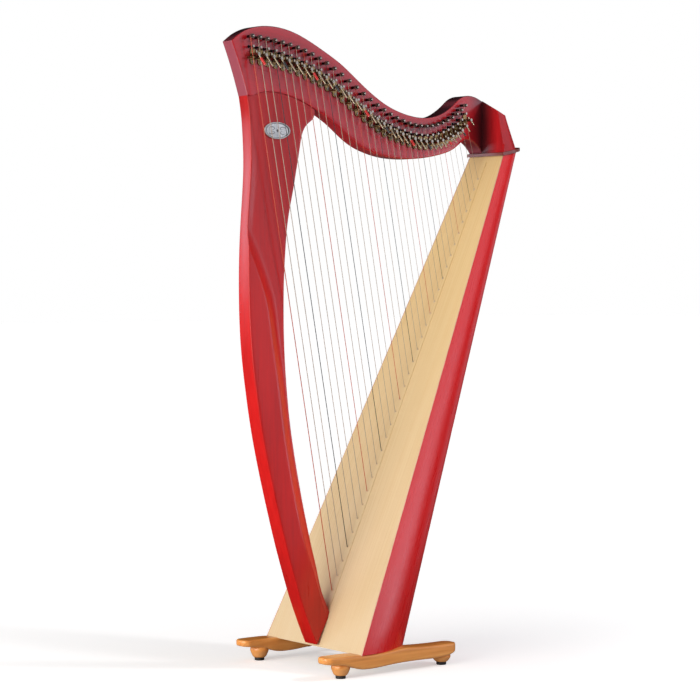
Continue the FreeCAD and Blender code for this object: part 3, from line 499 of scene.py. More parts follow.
def plastic(name, color, roughness, mottled):
    """Hard plastic or bone, mottled towards a lighter tone."""
    s = Shader(name)
    mottle = s.noise(stretch=(400, 400, 400), detail=3, roughness=0.5)
    light = tuple(c * (1 + mottled) + 0.01 for c in color)
    s.surface(
        Base_Color=s.mix(s.remap(mottle, source=(0.35, 0.7)), color, light),
        Roughness=s.remap(mottle, source=(0.3, 0.7), target=(roughness - 0.05, roughness + 0.08)),
        Normal=s.bump(mottle, strength=0.04, distance=0.0002, bevel=0.0003),
        Coat_Weight=0.2, IOR=1.5)
    return s


def rubber(name):
    s = Shader(name)
    mottle = s.noise(stretch=(900, 900, 900), detail=4, roughness=0.6)
    s.surface(
        Base_Color=s.ramp(mottle, [(0.35, (0.012, 0.012, 0.013)), (0.7, (0.035, 0.034, 0.033))]),
        Roughness=s.remap(mottle, source=(0.3, 0.7), target=(0.6, 0.8)),
        Normal=s.bump(mottle, strength=0.2, distance=0.0003, bevel=0.0006))
    return s


def string_filament(name, color, alpha=1.0):
    """A smooth string with faint bands along Z."""
    s = Shader(name)
    bands = s.node("ShaderNodeTexWave", {
        "Vector": s.position, "Scale": 60.0, "Distortion": 0.6}, bands_direction="Z")
    mottle = s.noise(stretch=(300, 300, 30), detail=3, roughness=0.5)
    shade = s.remap(mottle, source=(0.35, 0.7))
    s.surface(
        Base_Color=s.mix(shade, color, scaled(color, 0.78, 0.78, 0.78)),
        Roughness=s.remap(mottle, source=(0.3, 0.7), target=(0.25, 0.38)),
        Normal=s.bump(bands.outputs["Fac"], strength=0.03, distance=0.0002),
        Coat_Weight=0.2, IOR=1.5, Alpha=alpha)
    return s


# Ways a surface is graded: the geometry output and which of its components is read
HEIGHT, FACING_X, FACING_Z = ("Position", 2), ("Normal", 0), ("Normal", 2)


def graded_color(s, measure, source):
    """The shader's present colour, and a smooth 0 to 1 over the measure's source range."""
    output, axis = measure
    geometry = s.node("ShaderNodeNewGeometry")
    value = s.separate(geometry.outputs[output])[axis]
    color = s.bsdf.inputs["Base Color"].links[0].from_socket
    return color, s.remap(value, source=source, kind="SMOOTHSTEP")


def tone(s, measure, source, start, end):
    """Multiply the colour by factors that go from start to end."""
    color, share = graded_color(s, measure, source)
    s.surface(Base_Color=s.mix(1.0, color, s.mix(share, start, end), mode="MULTIPLY"))


def pull(s, measure, source, color):
    """Draw the colour over to another one."""
    present, share = graded_color(s, measure, source)
    s.surface(Base_Color=s.mix(share, present, color))


# ------------------------------------------------------------------------------------------
# Materials
GRAIN_UP = (0, math.radians(90), 0)
GRAIN_BOX = (0, math.radians(65), 0)
GRAIN_BOARD = (0, math.radians(65.07), 0)
GRAIN_NECK = (0, math.radians(-12), 0)
GRAIN_ACROSS = (0, 0, math.radians(90))

PILLAR_WOOD = stained_wood("stain_pillar", tint=(0.61, 0.004, 0.003), turn=GRAIN_UP)
# the neck gets painted shade towards the shoulder crease and between its fittings
NECK_WOOD = stained_wood("stain_neck", tint=(0.52, 0.007, 0.014), turn=GRAIN_NECK, coat=0.80,
                         crease_shade=(0, 0.262, 0.320, 0.85), occlusion_shade=0.9)
SHELL_WOOD = stained_wood("stain_shell", tint=(0.84, 0.006, 0.006), turn=GRAIN_BOX,
                          roughness=0.27, figure=0.07)
# the shoulder gets painted shade towards the crease with the neck
SHOULDER_WOOD = stained_wood("stain_shoulder", tint=(0.44, 0.006, 0.010), turn=GRAIN_UP,
                             roughness=0.36, coat=0.06, figure=0.9,
                             crease_shade=(1, -0.042, 0.014, 0.93))
RIM_WOOD = stained_wood("rim_edge", tint=(0.70, 0.42, 0.32), turn=GRAIN_BOX, figure=0.3)
PLATE_WOOD = stained_wood("stain_plate", tint=(0.20, 0.040, 0.030), turn=GRAIN_ACROSS)
SPRUCE = spruce("spruce_board", tint=(0.72, 0.565, 0.345), turn=GRAIN_BOARD)
INNER_WOOD = stained_wood("inner_wood", tint=(0.52, 0.36, 0.20), turn=GRAIN_BOX,
                          roughness=0.6, coat=0.0)
BASE_WOOD = honey_wood("honey_wood", tint=(0.86, 0.33, 0.070))
BLUED_STEEL = metal("blued_steel", color=(0.030, 0.028, 0.030), roughness=0.30)
NICKEL = metal("nickel", color=(0.42, 0.36, 0.30), roughness=0.24)
ZINC = metal("zinc_steel", color=(0.50, 0.50, 0.52), roughness=0.38, scratch=0.1)
BRASS = metal("lever_brass", color=(0.31, 0.205, 0.085), roughness=0.24, scratch=0.09)
LEVER_SILVER = metal("lever_silver", color=(0.44, 0.37, 0.26), roughness=0.24, scratch=0.07)
BONE = plastic("eyelet_bone", color=(0.66, 0.49, 0.30), roughness=0.5, mottled=0.1)
RED_SLEEVE = plastic("sleeve_red", color=(0.60, 0.008, 0.006), roughness=0.25, mottled=0.15)
BLACK_SLEEVE = plastic("sleeve_black", color=(0.014, 0.014, 0.016), roughness=0.3, mottled=0.2)
KNOT = plastic("nylon_knot", color=(0.70, 0.60, 0.44), roughness=0.45, mottled=0.1)
RUBBER = rubber("pad_rubber")
BADGE_SILVER = metal("badge_silver", color=(0.72, 0.70, 0.66), roughness=0.42)
BADGE_DARK = metal("badge_antique", color=(0.20, 0.19, 0.175), roughness=0.40, scratch=0.1)
RED_STRING = string_filament("string_red", color=(0.58, 0.070, 0.030))
BLACK_STRING = string_filament("string_black", color=(0.022, 0.020, 0.024))
# clear strings let some of what is behind them through
NATURAL_STRING = string_filament("string_natural", color=(0.56, 0.44, 0.35), alpha=0.70)
# painted shade: the coils wound on the tuning pins, in the shade of the pins, are coloured darker than
# the free strings
SHADED_COIL = string_filament("string_coil_shaded", color=(0.11, 0.055, 0.045))

# painted light: the soundboard is drawn warmer towards the top, where light bounces off the red wood,
# and a little darker low down
tone(SPRUCE, HEIGHT, source=(0.05, 1.08), start=(0.94, 0.93, 0.92), end=(1.10, 1.0, 0.78))
# painted shade: faces of the neck and shoulder that turn upwards are drawn dark, as little light comes
# from above
for wood in (NECK_WOOD, SHOULDER_WOOD):
    pull(wood, FACING_Z, source=(0.35, 0.85), color=(0.050, 0.010, 0.016))
# painted sheen: faces of the base that turn downwards are drawn paler, standing in for the floor's
# reflection
pull(BASE_WOOD, FACING_Z, source=(0.15, -0.45), color=(0.78, 0.35, 0.11))
# painted light: faces of the pillar turned towards +X, toward the key light and away from bright
# reflections, are drawn redder with less sheen
tone(PILLAR_WOOD, FACING_X, source=(0.10, 0.42), start=(1, 1, 1), end=(1.30, 0.6, 0.5))
# painted shade: the pillar darkens towards its foot
tone(PILLAR_WOOD, HEIGHT, source=(0.10, 0.42), start=(0.80, 0.8, 0.6), end=(1, 1, 1))
# painted shade: the shell darkens and loses sheen towards its bottom
tone(SHELL_WOOD, HEIGHT, source=(0.10, 0.32), start=(0.86, 0.75, 0.75), end=(1, 1, 1))
# painted sheen: the upper pillar is drawn less red and a little bluer, standing in for a cool
# reflection
tone(PILLAR_WOOD, HEIGHT, source=(0.70, 1.10), start=(1, 1, 1), end=(0.76, 1.0, 1.1))
# the neck's front face is end grain, which takes the stain darker, and it also gets a painted bluish
# sheen: faces turned towards -X are drawn to a dull pinkish maroon
pull(NECK_WOOD, FACING_X, source=(-0.55, -0.85), color=(0.36, 0.075, 0.105))

# CAD pieces that aren't listed are lever handles
PIECE_SHADERS = {
    "soundbox_shell": SHELL_WOOD, "neck": NECK_WOOD, "pillar": PILLAR_WOOD,
    "shoulder_block": SHOULDER_WOOD, "top_plate": PLATE_WOOD,
    "soundboard": SPRUCE, "string_strip_outer": SPRUCE, "string_strip_inner": INNER_WOOD,
    "top_block": INNER_WOOD, "bottom_board": INNER_WOOD, "box_braces": INNER_WOOD,
    "string_eyelets": BONE, "string_knots": KNOT, "strings_red": RED_STRING,
    "strings_black": BLACK_STRING, "strings_natural": NATURAL_STRING,
    "tuning_pins": BLUED_STEEL, "bridge_pins": BLUED_STEEL,
    "lever_bases": BRASS, "lever_screws": NICKEL,
    "base_runner_left": BASE_WOOD, "base_runner_right": BASE_WOOD, "ball_feet": BASE_WOOD,
    "foot_pads": RUBBER, "base_bolts": ZINC, "badge_plate": BADGE_SILVER,
}
for name, piece in NODES.items():
    piece.data.materials.clear()
    piece.data.materials.append(PIECE_SHADERS.get(name, LEVER_SILVER).material)
    smooth(piece.data)


# ------------------------------------------------------------------------------------------
# Neck: a slab between its outlines, with rounded edges and a far side that flares to high X
NECK_ROWS = 420
NECK_EDGE = 3.4                  # edge radius
NECK_JOINT_EDGE = 0.9            # edge radius along the joint
NECK_NEAR_Y = 15.0
NECK_FAR_Y = 50.0
NECK_FLARE = 11.0
FLARE_START_X, FLARE_RUN = 338.0, 62.0
# Thousandths along the top and along the lower edge that a row joins, so that rows stay
# roughly square to the neck
NECK_ROW_ENDS = [
    (0, 0), (160, 100), (300, 220), (440, 380), (620, 620), (800, 840), (900, 925), (1000, 1000),
]


def build_neck():
    top, front, joint = Spline(NECK_TOP), Spline(NECK_FRONT), Spline(JOINT)
    # lower edge: along the joint, then along the underside
    underside = Spline(NECK_BOTTOM)(np.linspace(0, 1, 1200))[1:]
    lower = np.vstack([joint(np.linspace(0, 1, 400)), underside])
    lower_s = np.concatenate([[0], np.cumsum(np.hypot(*np.diff(lower, axis=0).T))])

    rounding = NECK_EDGE * (1 - np.cos(np.linspace(0, math.pi / 2, 7))) / top.length
    top_at = np.concatenate([rounding, np.linspace(rounding[-1], 1, NECK_ROWS - 6)[1:]])
    row_ends = Spline(NECK_ROW_ENDS)(np.linspace(0, 1, 600)) / 1000
    lower_at = np.clip(interpolate(row_ends, top_at), 0, 1) * lower_s[-1]
    top_points = top(top_at)
    lower_points = np.column_stack([np.interp(lower_at, lower_s, lower[:, k]) for k in (0, 1)])

    verts = []
    for i in range(NECK_ROWS):
        low, high = lower_points[i], top_points[i]
        length = math.hypot(*(high - low))
        past_joint = ease((lower_at[i] - joint.length - 2.0) / 12.0)
        low_edge = NECK_JOINT_EDGE + (NECK_EDGE - NECK_JOINT_EDGE) * past_joint
        from_low = low_edge * CORNER_IN / length
        from_high = 1 - NECK_EDGE * CORNER_IN[::-1] / length
        middle = np.linspace(from_low[-1], from_high[0], 12)[1:-1]
        u = np.concatenate([from_low, middle, from_high])
        inset = np.concatenate([
            low_edge * CORNER_BACK, np.zeros(len(middle)), NECK_EDGE * CORNER_BACK[::-1]])
        inset = np.maximum(inset, round_inset(NECK_EDGE, top_at[i] * top.length))
        line = low + (high - low) * u[:, None]
        # the first rows follow the front outline and straighten out further back
        chord = front.points[0] + (front.points[-1] - front.points[0]) * u[:, None]
        line = line + (1 - ease(i / 60.0)) * (front(u) - chord)
        far = NECK_FAR_Y + NECK_FLARE * ease((line[:, 0] - FLARE_START_X) / FLARE_RUN)
        ring = slab_ring(line, NECK_NEAR_Y + inset, far - inset)
        verts += ring
    build_piece("neck_body", verts, slab_faces(NECK_ROWS, len(ring)), NECK_WOOD.material,
                replaced="neck", smooth_angle=32)


build_neck()

# ------------------------------------------------------------------------------------------
# Pillar: rows run from the soundboard up to the joint; one column line follows the carved edge
PILLAR_ROWS = 460
PILLAR_EDGE = 1.3                # edge radius
TOP_ROW_STEPS = [1.0, 0.65, 0.35, 0.15, 0.04, 0.0]   # last rows, in edge radii below the top
FRONT_COLUMNS, HOLLOW_COLUMNS = 10, 30
HOLLOW_OPEN_Z = 930.0            # above this the hollow takes its full depth
NEAR_DEPTH, FAR_DEPTH = 9.0, -6.5    # limits of the hollow's depth below that


def hollow_columns(start, end, length):
    """Row fractions across the hollow, closer together at the carved edge if it is wide."""
    t = np.linspace(0, 1, HOLLOW_COLUMNS + 1)[1:]
    if (end - start) * length > 20:
        t = np.where(t < 0.6, t * t / 0.6 * 0.7, t * 1.45 - 0.45)
    return start + (end - start) * t


def build_pillar():
    front, back = Spline(PILLAR_FRONT[::-1]), Spline(PILLAR_BACK[::-1])
    joint = Spline(JOINT)
    carved = Spline(CARVED_EDGE[::-1])(np.linspace(0, 1, 1700))
    near_floor, far_floor = smooth_table(HOLLOW_NEAR, 400), smooth_table(HOLLOW_FAR, 400)
    rows_at = np.concatenate([
        np.linspace(0, 1 - 1.35 / front.length, PILLAR_ROWS - 6),
        1 - np.array(TOP_ROW_STEPS) * PILLAR_EDGE / front.length])
    front_points, back_points = front(rows_at), back(rows_at)

    verts = []
    for at, start, end in zip(rows_at, front_points, back_points):
        span = end - start
        length = math.hypot(*span)
        # edge_at: the fraction of this row where it crosses the carved edge
        along = (carved - start) @ span / (length * length)
        away = np.abs((carved - start) @ np.array([-span[1], span[0]]) / length)
        nearest = int(np.argmin(away))
        if away[nearest] < 4.0:
            edge_at = along[nearest]
            last_crossing = (edge_at * length, start[1])
        elif start[1] > 800:
            # above the carved edge the hollow runs out through the front edge
            edge_at = (last_crossing[0] - 0.62 * (start[1] - last_crossing[1])) / length
        else:
            edge_at = 1.0 - 11.0 / length
        edge_at = min(edge_at, 1.0 - 9.0 / length)

        first, last = PILLAR_EDGE / length, 1 - PILLAR_EDGE / length
        column_at = min(max(edge_at, first + 0.002), last - 0.002)
        u = np.concatenate([
            PILLAR_EDGE * CORNER_IN / length,
            np.linspace(first, column_at, FRONT_COLUMNS + 1)[1:],
            hollow_columns(column_at, last, length),
            (1 - PILLAR_EDGE * CORNER_IN[::-1] / length)[1:]])
        inset = np.concatenate([
            PILLAR_EDGE * CORNER_BACK, np.zeros(FRONT_COLUMNS + HOLLOW_COLUMNS),
            PILLAR_EDGE * CORNER_BACK[::-1][1:]])
        line = start + span * u[:, None]
        # bend the last rows to the curved joint
        chord = joint.points[0] + (joint.points[-1] - joint.points[0]) * u[:, None]
        line = line + float(ease((at - 0.90) / 0.10)) ** 1.3 * (joint(u) - chord)
        z = line[:, 1]

        # sink: how far the surface has dropped from the face (0) to the hollow's floor (1)
        width = min(27.0 + 4.0 * float(ease((start[1] - 600.0) / 300.0)),
                    max(9.0, (1 - edge_at) * length * 0.97))
        g = np.clip(np.maximum(0.0, (u - edge_at) * length) / width, 0, 1)
        sink = 0.80 * (1 - (1 - g) ** 1.7) + 0.20 * g * g * (3 - 2 * g)
        # above the carved edge the hollow still rises softly to the front edge
        rise = float(ease((start[1] - 905.0) / 120.0)) * (1 - ease(u * length / 17.0)) * 0.20
        sink = sink * (1 - rise)

        near_face, far_face = interpolate(SIDE_NEAR, z), interpolate(SIDE_FAR, z)
        near_full, far_full = near_floor(z) - near_face, far_floor(z) - far_face
        far_limited = np.maximum(far_full, FAR_DEPTH)
        is_open = z > HOLLOW_OPEN_Z
        # the hollow dies out towards the foot
        foot = ease((z - 70.0) / 130.0)
        near_depth = np.where(is_open, near_full, np.minimum(near_full, NEAR_DEPTH)) * foot
        far_depth = np.where(is_open, far_full, far_limited) * foot
        # on the far side the front edge draws in well before the hollow reaches it
        lead = ease((z - 690.0) / 300.0) * (1 - ease(u * length / 24.0)) * foot
        inset = inset + round_inset(PILLAR_EDGE, (1 - at) * front.length)
        near = near_face + np.maximum(near_depth, 0) * sink + inset
        far = far_face + np.minimum(np.minimum(far_depth, 0) * sink, far_limited * lead) - inset
        ring = slab_ring(line, near, far)
        verts += ring
    build_piece("pillar_body", verts, slab_faces(PILLAR_ROWS, len(ring)), PILLAR_WOOD.material,
                replaced="pillar", smooth_angle=32)


build_pillar()

# ------------------------------------------------------------------------------------------
# Badge: an oval medallion with a raised rim, a ring of beads and scrolls around a lozenge.
# Sizes are in metres; fractions are of its half axes and of its relief.
BADGE_LOW, BADGE_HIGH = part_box("badge_plate")
BADGE_X = (BADGE_LOW.x + BADGE_HIGH.x) / 2
BADGE_Z = (BADGE_LOW.z + BADGE_HIGH.z) / 2
BADGE_MARGIN = 0.0002
BADGE_HALF_X = (BADGE_HIGH.x - BADGE_LOW.x) / 2 - BADGE_MARGIN
BADGE_HALF_Z = (BADGE_HIGH.z - BADGE_LOW.z) / 2 - BADGE_MARGIN
BADGE_FRONT_Y = BADGE_LOW.y + 0.0001
BADGE_RELIEF = BADGE_HIGH.y - BADGE_FRONT_Y
BADGE_SEGMENTS = 120
# Profile from the outer edge inwards: radius fraction, depth fraction behind the front
BADGE_PROFILE = [
    (1.0, 1.0), (1.0, 0.35), (0.985, 0.10), (0.955, 0.0), (0.925, 0.0), (0.895, 0.10),
    (0.875, 0.45), (0.85, 0.50), (0.80, 0.46), (0.60, 0.36), (0.40, 0.30), (0.20, 0.27),
]
GROOVE = (0.862, 0.905)          # radius range of the dark step inside the rim
BEADS, BEAD_RADIUS, BEAD_RING = 44, 0.00065, 0.825
SCROLL_POINTS, SCROLL_SIDES, SCROLL_RADIUS = 34, 8, 0.00075
LOZENGE_HALF_X, LOZENGE_STRETCH = 0.13, 2.1


def badge_point(across, depth, up):
    """A point on the badge from its fractions."""
    return (BADGE_X + BADGE_HALF_X * across, BADGE_FRONT_Y + BADGE_RELIEF * depth,
            BADGE_Z + BADGE_HALF_Z * up)


def build_medallion():
    verts = []
    for radius, depth in BADGE_PROFILE:
        for k in range(BADGE_SEGMENTS):
            t = 2 * math.pi * k / BADGE_SEGMENTS
            verts.append(badge_point(radius * math.cos(t), depth, radius * math.sin(t)))
    centre = len(verts)
    inner = centre - BADGE_SEGMENTS
    verts += [badge_point(0, 0.26, 0), badge_point(0, 1.0, 0)]
    faces = grid_faces(len(BADGE_PROFILE), BADGE_SEGMENTS)
    steps = [(k, (k + 1) % BADGE_SEGMENTS) for k in range(BADGE_SEGMENTS)]
    faces += [(inner + k, inner + after, centre) for k, after in steps]
    faces += [(after, k, centre + 1) for k, after in steps]
    mesh = build_piece("badge_medallion", verts, faces, BADGE_SILVER.material,
                       replaced="badge_plate", smooth_angle=50)

    def in_groove(polygon):
        x, y, z = polygon.center
        radius = math.hypot((x - BADGE_X) / BADGE_HALF_X, (z - BADGE_Z) / BADGE_HALF_Z)
        return GROOVE[0] < radius < GROOVE[1] and y < BADGE_FRONT_Y + BADGE_RELIEF * 0.5

    paint(mesh, BADGE_DARK.material, in_groove)


def add_scroll(bm, side_x, side_z):
    """A curl in one quarter of the badge, as a tube that thins towards its ends."""
    path = []
    last = SCROLL_POINTS - 1
    for i in range(SCROLL_POINTS):
        t = i / last
        angle = 0.3 + 4.6 * t
        radius = 0.30 * (1 - 0.72 * t)
        across = 0.38 + radius * math.cos(angle) * 0.9
        up = 0.20 + radius * math.sin(angle) * 0.9
        path.append(badge_point(side_x * across, 0.36, side_z * up))
    rings = []
    for i, (x, y, z) in enumerate(path):
        x0, _, z0 = path[max(0, i - 1)]
        x1, _, z1 = path[min(last, i + 1)]
        length = math.hypot(x1 - x0, z1 - z0)
        normal_x, normal_z = -(z1 - z0) / length, (x1 - x0) / length
        radius = SCROLL_RADIUS * (0.35 + 0.65 * math.sin(math.pi * i / last) ** 0.6)
        ring = []
        for k in range(SCROLL_SIDES):
            q = 2 * math.pi * k / SCROLL_SIDES
            out = radius * math.cos(q)
            ring.append(bm.verts.new((
                x + normal_x * out, y + radius * 0.8 * math.sin(q), z + normal_z * out)))
        rings.append(ring)
    for ring, after in zip(rings, rings[1:]):
        for k in range(SCROLL_SIDES):
            k2 = (k + 1) % SCROLL_SIDES
            bm.faces.new((ring[k], ring[k2], after[k2], after[k]))
    bm.faces.new(rings[0][::-1])
    bm.faces.new(rings[-1])


def add_lozenge(bm):
    tip = bm.verts.new(badge_point(0, 0.12, 0))
    ring = []
    for k in range(4):
        q = math.pi / 2 * k
        up = LOZENGE_STRETCH * LOZENGE_HALF_X * math.sin(q)
        ring.append(bm.verts.new(badge_point(LOZENGE_HALF_X * math.cos(q), 0.34, up)))
    base = bm.verts.new(badge_point(0, 0.6, 0))
    for k in range(4):
        after = ring[(k + 1) % 4]
        bm.faces.new((ring[k], after, tip))
        bm.faces.new((after, ring[k], base))


def build_ornament():
    bm = bmesh.new()
    for k in range(BEADS):
        t = 2 * math.pi * k / BEADS
        centre = badge_point(BEAD_RING * math.cos(t), 0.48, BEAD_RING * math.sin(t))
        bmesh.ops.create_uvsphere(bm, u_segments=8, v_segments=6, radius=BEAD_RADIUS,
                                  matrix=Matrix.Translation(centre))
    for side_x in (-1, 1):
        for side_z in (-1, 1):
            add_scroll(bm, side_x, side_z)
    add_lozenge(bm)
    bmesh.ops.recalc_face_normals(bm, faces=bm.faces)
    mesh = bpy.data.meshes.new("badge_ornament")
    bm.to_mesh(mesh)
    bm.free()
    smooth(mesh)
    add_piece("badge_ornament", mesh, BADGE_DARK.material)


build_medallion()
build_ornament()

# ------------------------------------------------------------------------------------------
# Second materials on the levers and the shell
LEVER_ANGLE = math.radians(-70.0)
SLEEVES = {"c": RED_SLEEVE, "f": BLACK_SLEEVE}


def paint_sleeve(name, sleeve):
    """Colour a lever's sleeve: what lies far along the handle and outside its radius."""
    joint = next(j for j in frame["joints"] if j["child"] == name)
    # the levers of the short strings stand closer together and are smaller
    crowding = max(0.0, (int(name.split("_")[1]) - 23) / 11.0)
    radius = 1.75 - 0.35 * min(1.0, crowding * 1.5)
    sleeve_start = (8.6 - 2.5 * crowding) * 1e-3
    sleeve_radius = (radius + 0.15) * 1e-3
    cosine, sine = math.cos(LEVER_ANGLE), math.sin(LEVER_ANGLE)
    start = np.array(joint["pos_m"]) + np.array([cosine * 1e-3, (radius - 9.6) * 1e-3, sine * 1e-3])
    axis = np.array([cosine, -0.52, sine])
    axis = axis / np.linalg.norm(axis)

    def on_sleeve(polygon):
        offset = np.array(polygon.center) - start
        along = offset @ axis
        return along > sleeve_start and np.linalg.norm(offset - along * axis) > sleeve_radius

    paint(NODES[name].data, sleeve.material, on_sleeve)


for name in NODES:
    if name.startswith("lever_") and name[-2:] in ("_c", "_f"):
        paint_sleeve(name, SLEEVES[name[-1]])

BOARD_NORMAL = Vector((-BOARD_RISE / BOARD_LENGTH, 0, BOARD_RUN / BOARD_LENGTH))
BOARD_BOTTOM = Vector(place(0, 0, BOARD_BOTTOM_Z))


def beside_board(polygon):
    """Whether a face lies in or just under the soundboard's plane."""
    height = (Vector(polygon.center) - BOARD_BOTTOM).dot(BOARD_NORMAL)
    return abs(polygon.normal.dot(BOARD_NORMAL)) > 0.9 and -0.0035 < height < 0.0015


# the narrow edge of the shell that shows beside the soundboard is paler wood
paint(NODES["soundbox_shell"].data, RIM_WOOD.material, beside_board)

# ------------------------------------------------------------------------------------------
# Runners: rounded in plan at both ends, with soft edges all along
RUNNER_Y = 149.5                 # centre line, either side of the middle
RUNNER_HALF_WIDTH = 22.0
RUNNER_END_RADIUS = 19.0         # in plan
RUNNER_EDGE = 4.5                # edge radius
RUNNER_CORNER_STEPS = 6


def build_runner(name, y_centre):
    top, bottom = smooth_table(RUNNER_TOP, 600), smooth_table(RUNNER_BOTTOM, 600)
    x0, x1 = RUNNER_TOP[0][0], RUNNER_TOP[-1][0]
    ends = RUNNER_END_RADIUS * (1 - np.cos(np.linspace(0, math.pi / 2, 14)))
    stations = np.concatenate([x0 + ends, np.linspace(x0 + 22, x1 - 22, 90), (x1 - ends)[::-1]])
    verts = []
    for x in stations:
        to_end = min(x - x0, x1 - x)
        half = RUNNER_HALF_WIDTH - round_inset(RUNNER_END_RADIUS, to_end)
        draw_in = round_inset(RUNNER_EDGE, to_end) * 0.8
        z_top, z_bottom = top(x) - draw_in, bottom(x) + draw_in
        r = min(RUNNER_EDGE, half * 0.8, (z_top - z_bottom) * 0.4)
        ring = []
        for y, z, start in (
            (half - r, z_top - r, 0), (r - half, z_top - r, 90),
            (r - half, z_bottom + r, 180), (half - r, z_bottom + r, 270),
        ):
            for k in range(RUNNER_CORNER_STEPS + 1):
                a = math.radians(start + 90.0 * k / RUNNER_CORNER_STEPS)
                ring.append(place(x, y_centre + y + r * math.cos(a), z + r * math.sin(a)))
        verts += ring
    columns = len(ring)
    faces = grid_faces(len(stations), columns)
    faces += [tuple(range(columns))[::-1], tuple(range(len(verts) - columns, len(verts)))]
    mesh = build_piece(name + "_body", verts, faces, BASE_WOOD.material,
                       replaced=name, smooth_angle=40)
    # a second pass writes the edge data afresh now that sharp edges are marked
    turn_outward(mesh)


build_runner("base_runner_right", -RUNNER_Y)
build_runner("base_runner_left", RUNNER_Y)

# ------------------------------------------------------------------------------------------
# Painted shade on the coils of string, and bright pin ends, in metres
COIL_RADIUS = 0.0056
COIL_MIN_Z = 1.10
PIN_CENTRES = [Vector(place(x, 0, z)) for x, z in TUNING_PINS]
PIN_TIPS_Y = {"tuning_pins": -0.0059, "bridge_pins": -0.0030}
PIN_TIP_DEPTH = 0.0004


def on_coil(polygon):
    x, _, z = polygon.center
    if z <= COIL_MIN_Z:
        return False
    return min((x - pin.x) ** 2 + (z - pin.z) ** 2 for pin in PIN_CENTRES) < COIL_RADIUS ** 2


# painted shade on the coils around the tuning pins
for name in ("strings_natural", "strings_red", "strings_black"):
    paint(NODES[name].data, SHADED_COIL.material, on_coil)
for name, tip in PIN_TIPS_Y.items():
    paint(NODES[name].data, NICKEL.material, lambda p: p.center.y < tip + PIN_TIP_DEPTH)


# ------------------------------------------------------------------------------------------
# Floor
# Glow the camera sees: metres from the frame's origin, strength
GLOW_REACH = 14.0
FLOOR_GLOW = [
    (0.0, 0.46), (0.40, 0.465), (1.0, 0.55), (1.6, 0.575), (2.6, 0.61), (4.4, 0.65),
    (7.4, 0.67), (13.0, 0.675),
]


def floor_material():
    """White sweep: it glows white away from the harp and keeps the soft shadow near it."""
    s = Shader("floor_white")
    rays = s.node("ShaderNodeLightPath").outputs
    camera, glossy = rays["Is Camera Ray"], rays["Is Glossy Ray"]
    cloud = s.noise(stretch=(3, 3, 3), detail=3, roughness=0.5)
    color = s.ramp(cloud, [(0.3, (0.68, 0.68, 0.68)), (0.7, (0.70, 0.70, 0.70))])
    color = s.mix(camera, color, (0.86, 0.86, 0.865))
    color = s.mix(glossy, color, (0.10, 0.10, 0.10))
    s.surface(Base_Color=color, Roughness=0.8, Specular_IOR_Level=0.1)

    x, y, _ = s.separate(s.position)
    squares = s.math("ADD", s.math("POWER", x, 2.0), s.math("POWER", y, 2.0))
    distance = s.math("DIVIDE", s.math("SQRT", squares), GLOW_REACH)
    glow = s.ramp(distance, [(d / GLOW_REACH, (g, g, g)) for d, g in FLOOR_GLOW])
    emission = s.node("ShaderNodeEmission", {1: s.math("MULTIPLY", glow, camera)})
    lit = s.node("ShaderNodeAddShader", {0: s.bsdf.outputs[0], 1: emission.outputs[0]})

    # towards +X and -Y glossy rays pass through to the low soft light
    u = s.math("SUBTRACT", s.math("MULTIPLY", x, 0.75), s.math("MULTIPLY", y, 0.66))
    v = s.math("ADD", y, s.math("MULTIPLY", x, 1.15))
    open_u = s.remap(u, source=(0.7, 1.2), kind="SMOOTHSTEP")
    open_v = s.remap(v, source=(-0.6, 0.0), kind="SMOOTHSTEP")
    opening = s.math("MULTIPLY", s.math("MULTIPLY", open_u, open_v), glossy)
    clear = s.node("ShaderNodeBsdfTransparent")
    mixed = s.node("ShaderNodeMixShader", {0: opening, 1: lit.outputs[0], 2: clear.outputs[0]})
    s.feed(s.output.inputs[0], mixed.outputs[0])
    return s.material


bpy.ops.mesh.primitive_plane_add(size=60.0, location=(0, 0, 0))
floor = bpy.context.object
floor.name = "floor"
floor.data.materials.append(floor_material())

# ------------------------------------------------------------------------------------------
# World: soft lobes of light seen by every ray but the camera's, which sees plain white
COOL, WARM, PLAIN = (0.90, 0.97, 1.14), (1.05, 1.0, 0.93), (1.0, 1.0, 1.0)
# azimuth and elevation in degrees, sharpness, strength, tint, factor for diffuse rays
LOBES = [
    (-52, 32, 9.0, 1.60, COOL, 0.35), (-52, 4, 12.0, 0.20, COOL, 0.5),
    (-41, -6, 70.0, 3.5, COOL, 0.25), (6, 0, 40.0, 0.55, COOL, 0.5),
    (-128, 6, 9.0, 0.22, PLAIN, 1.0), (127, 8, 80.0, 4.3, COOL, 1.35),
    (172, 6, 9.0, 2.3, WARM, 1.1), (-168, 22, 9.0, 1.4, WARM, 1.4),
    (0, 88, 5.0, 0.10, PLAIN, 4.0),
]


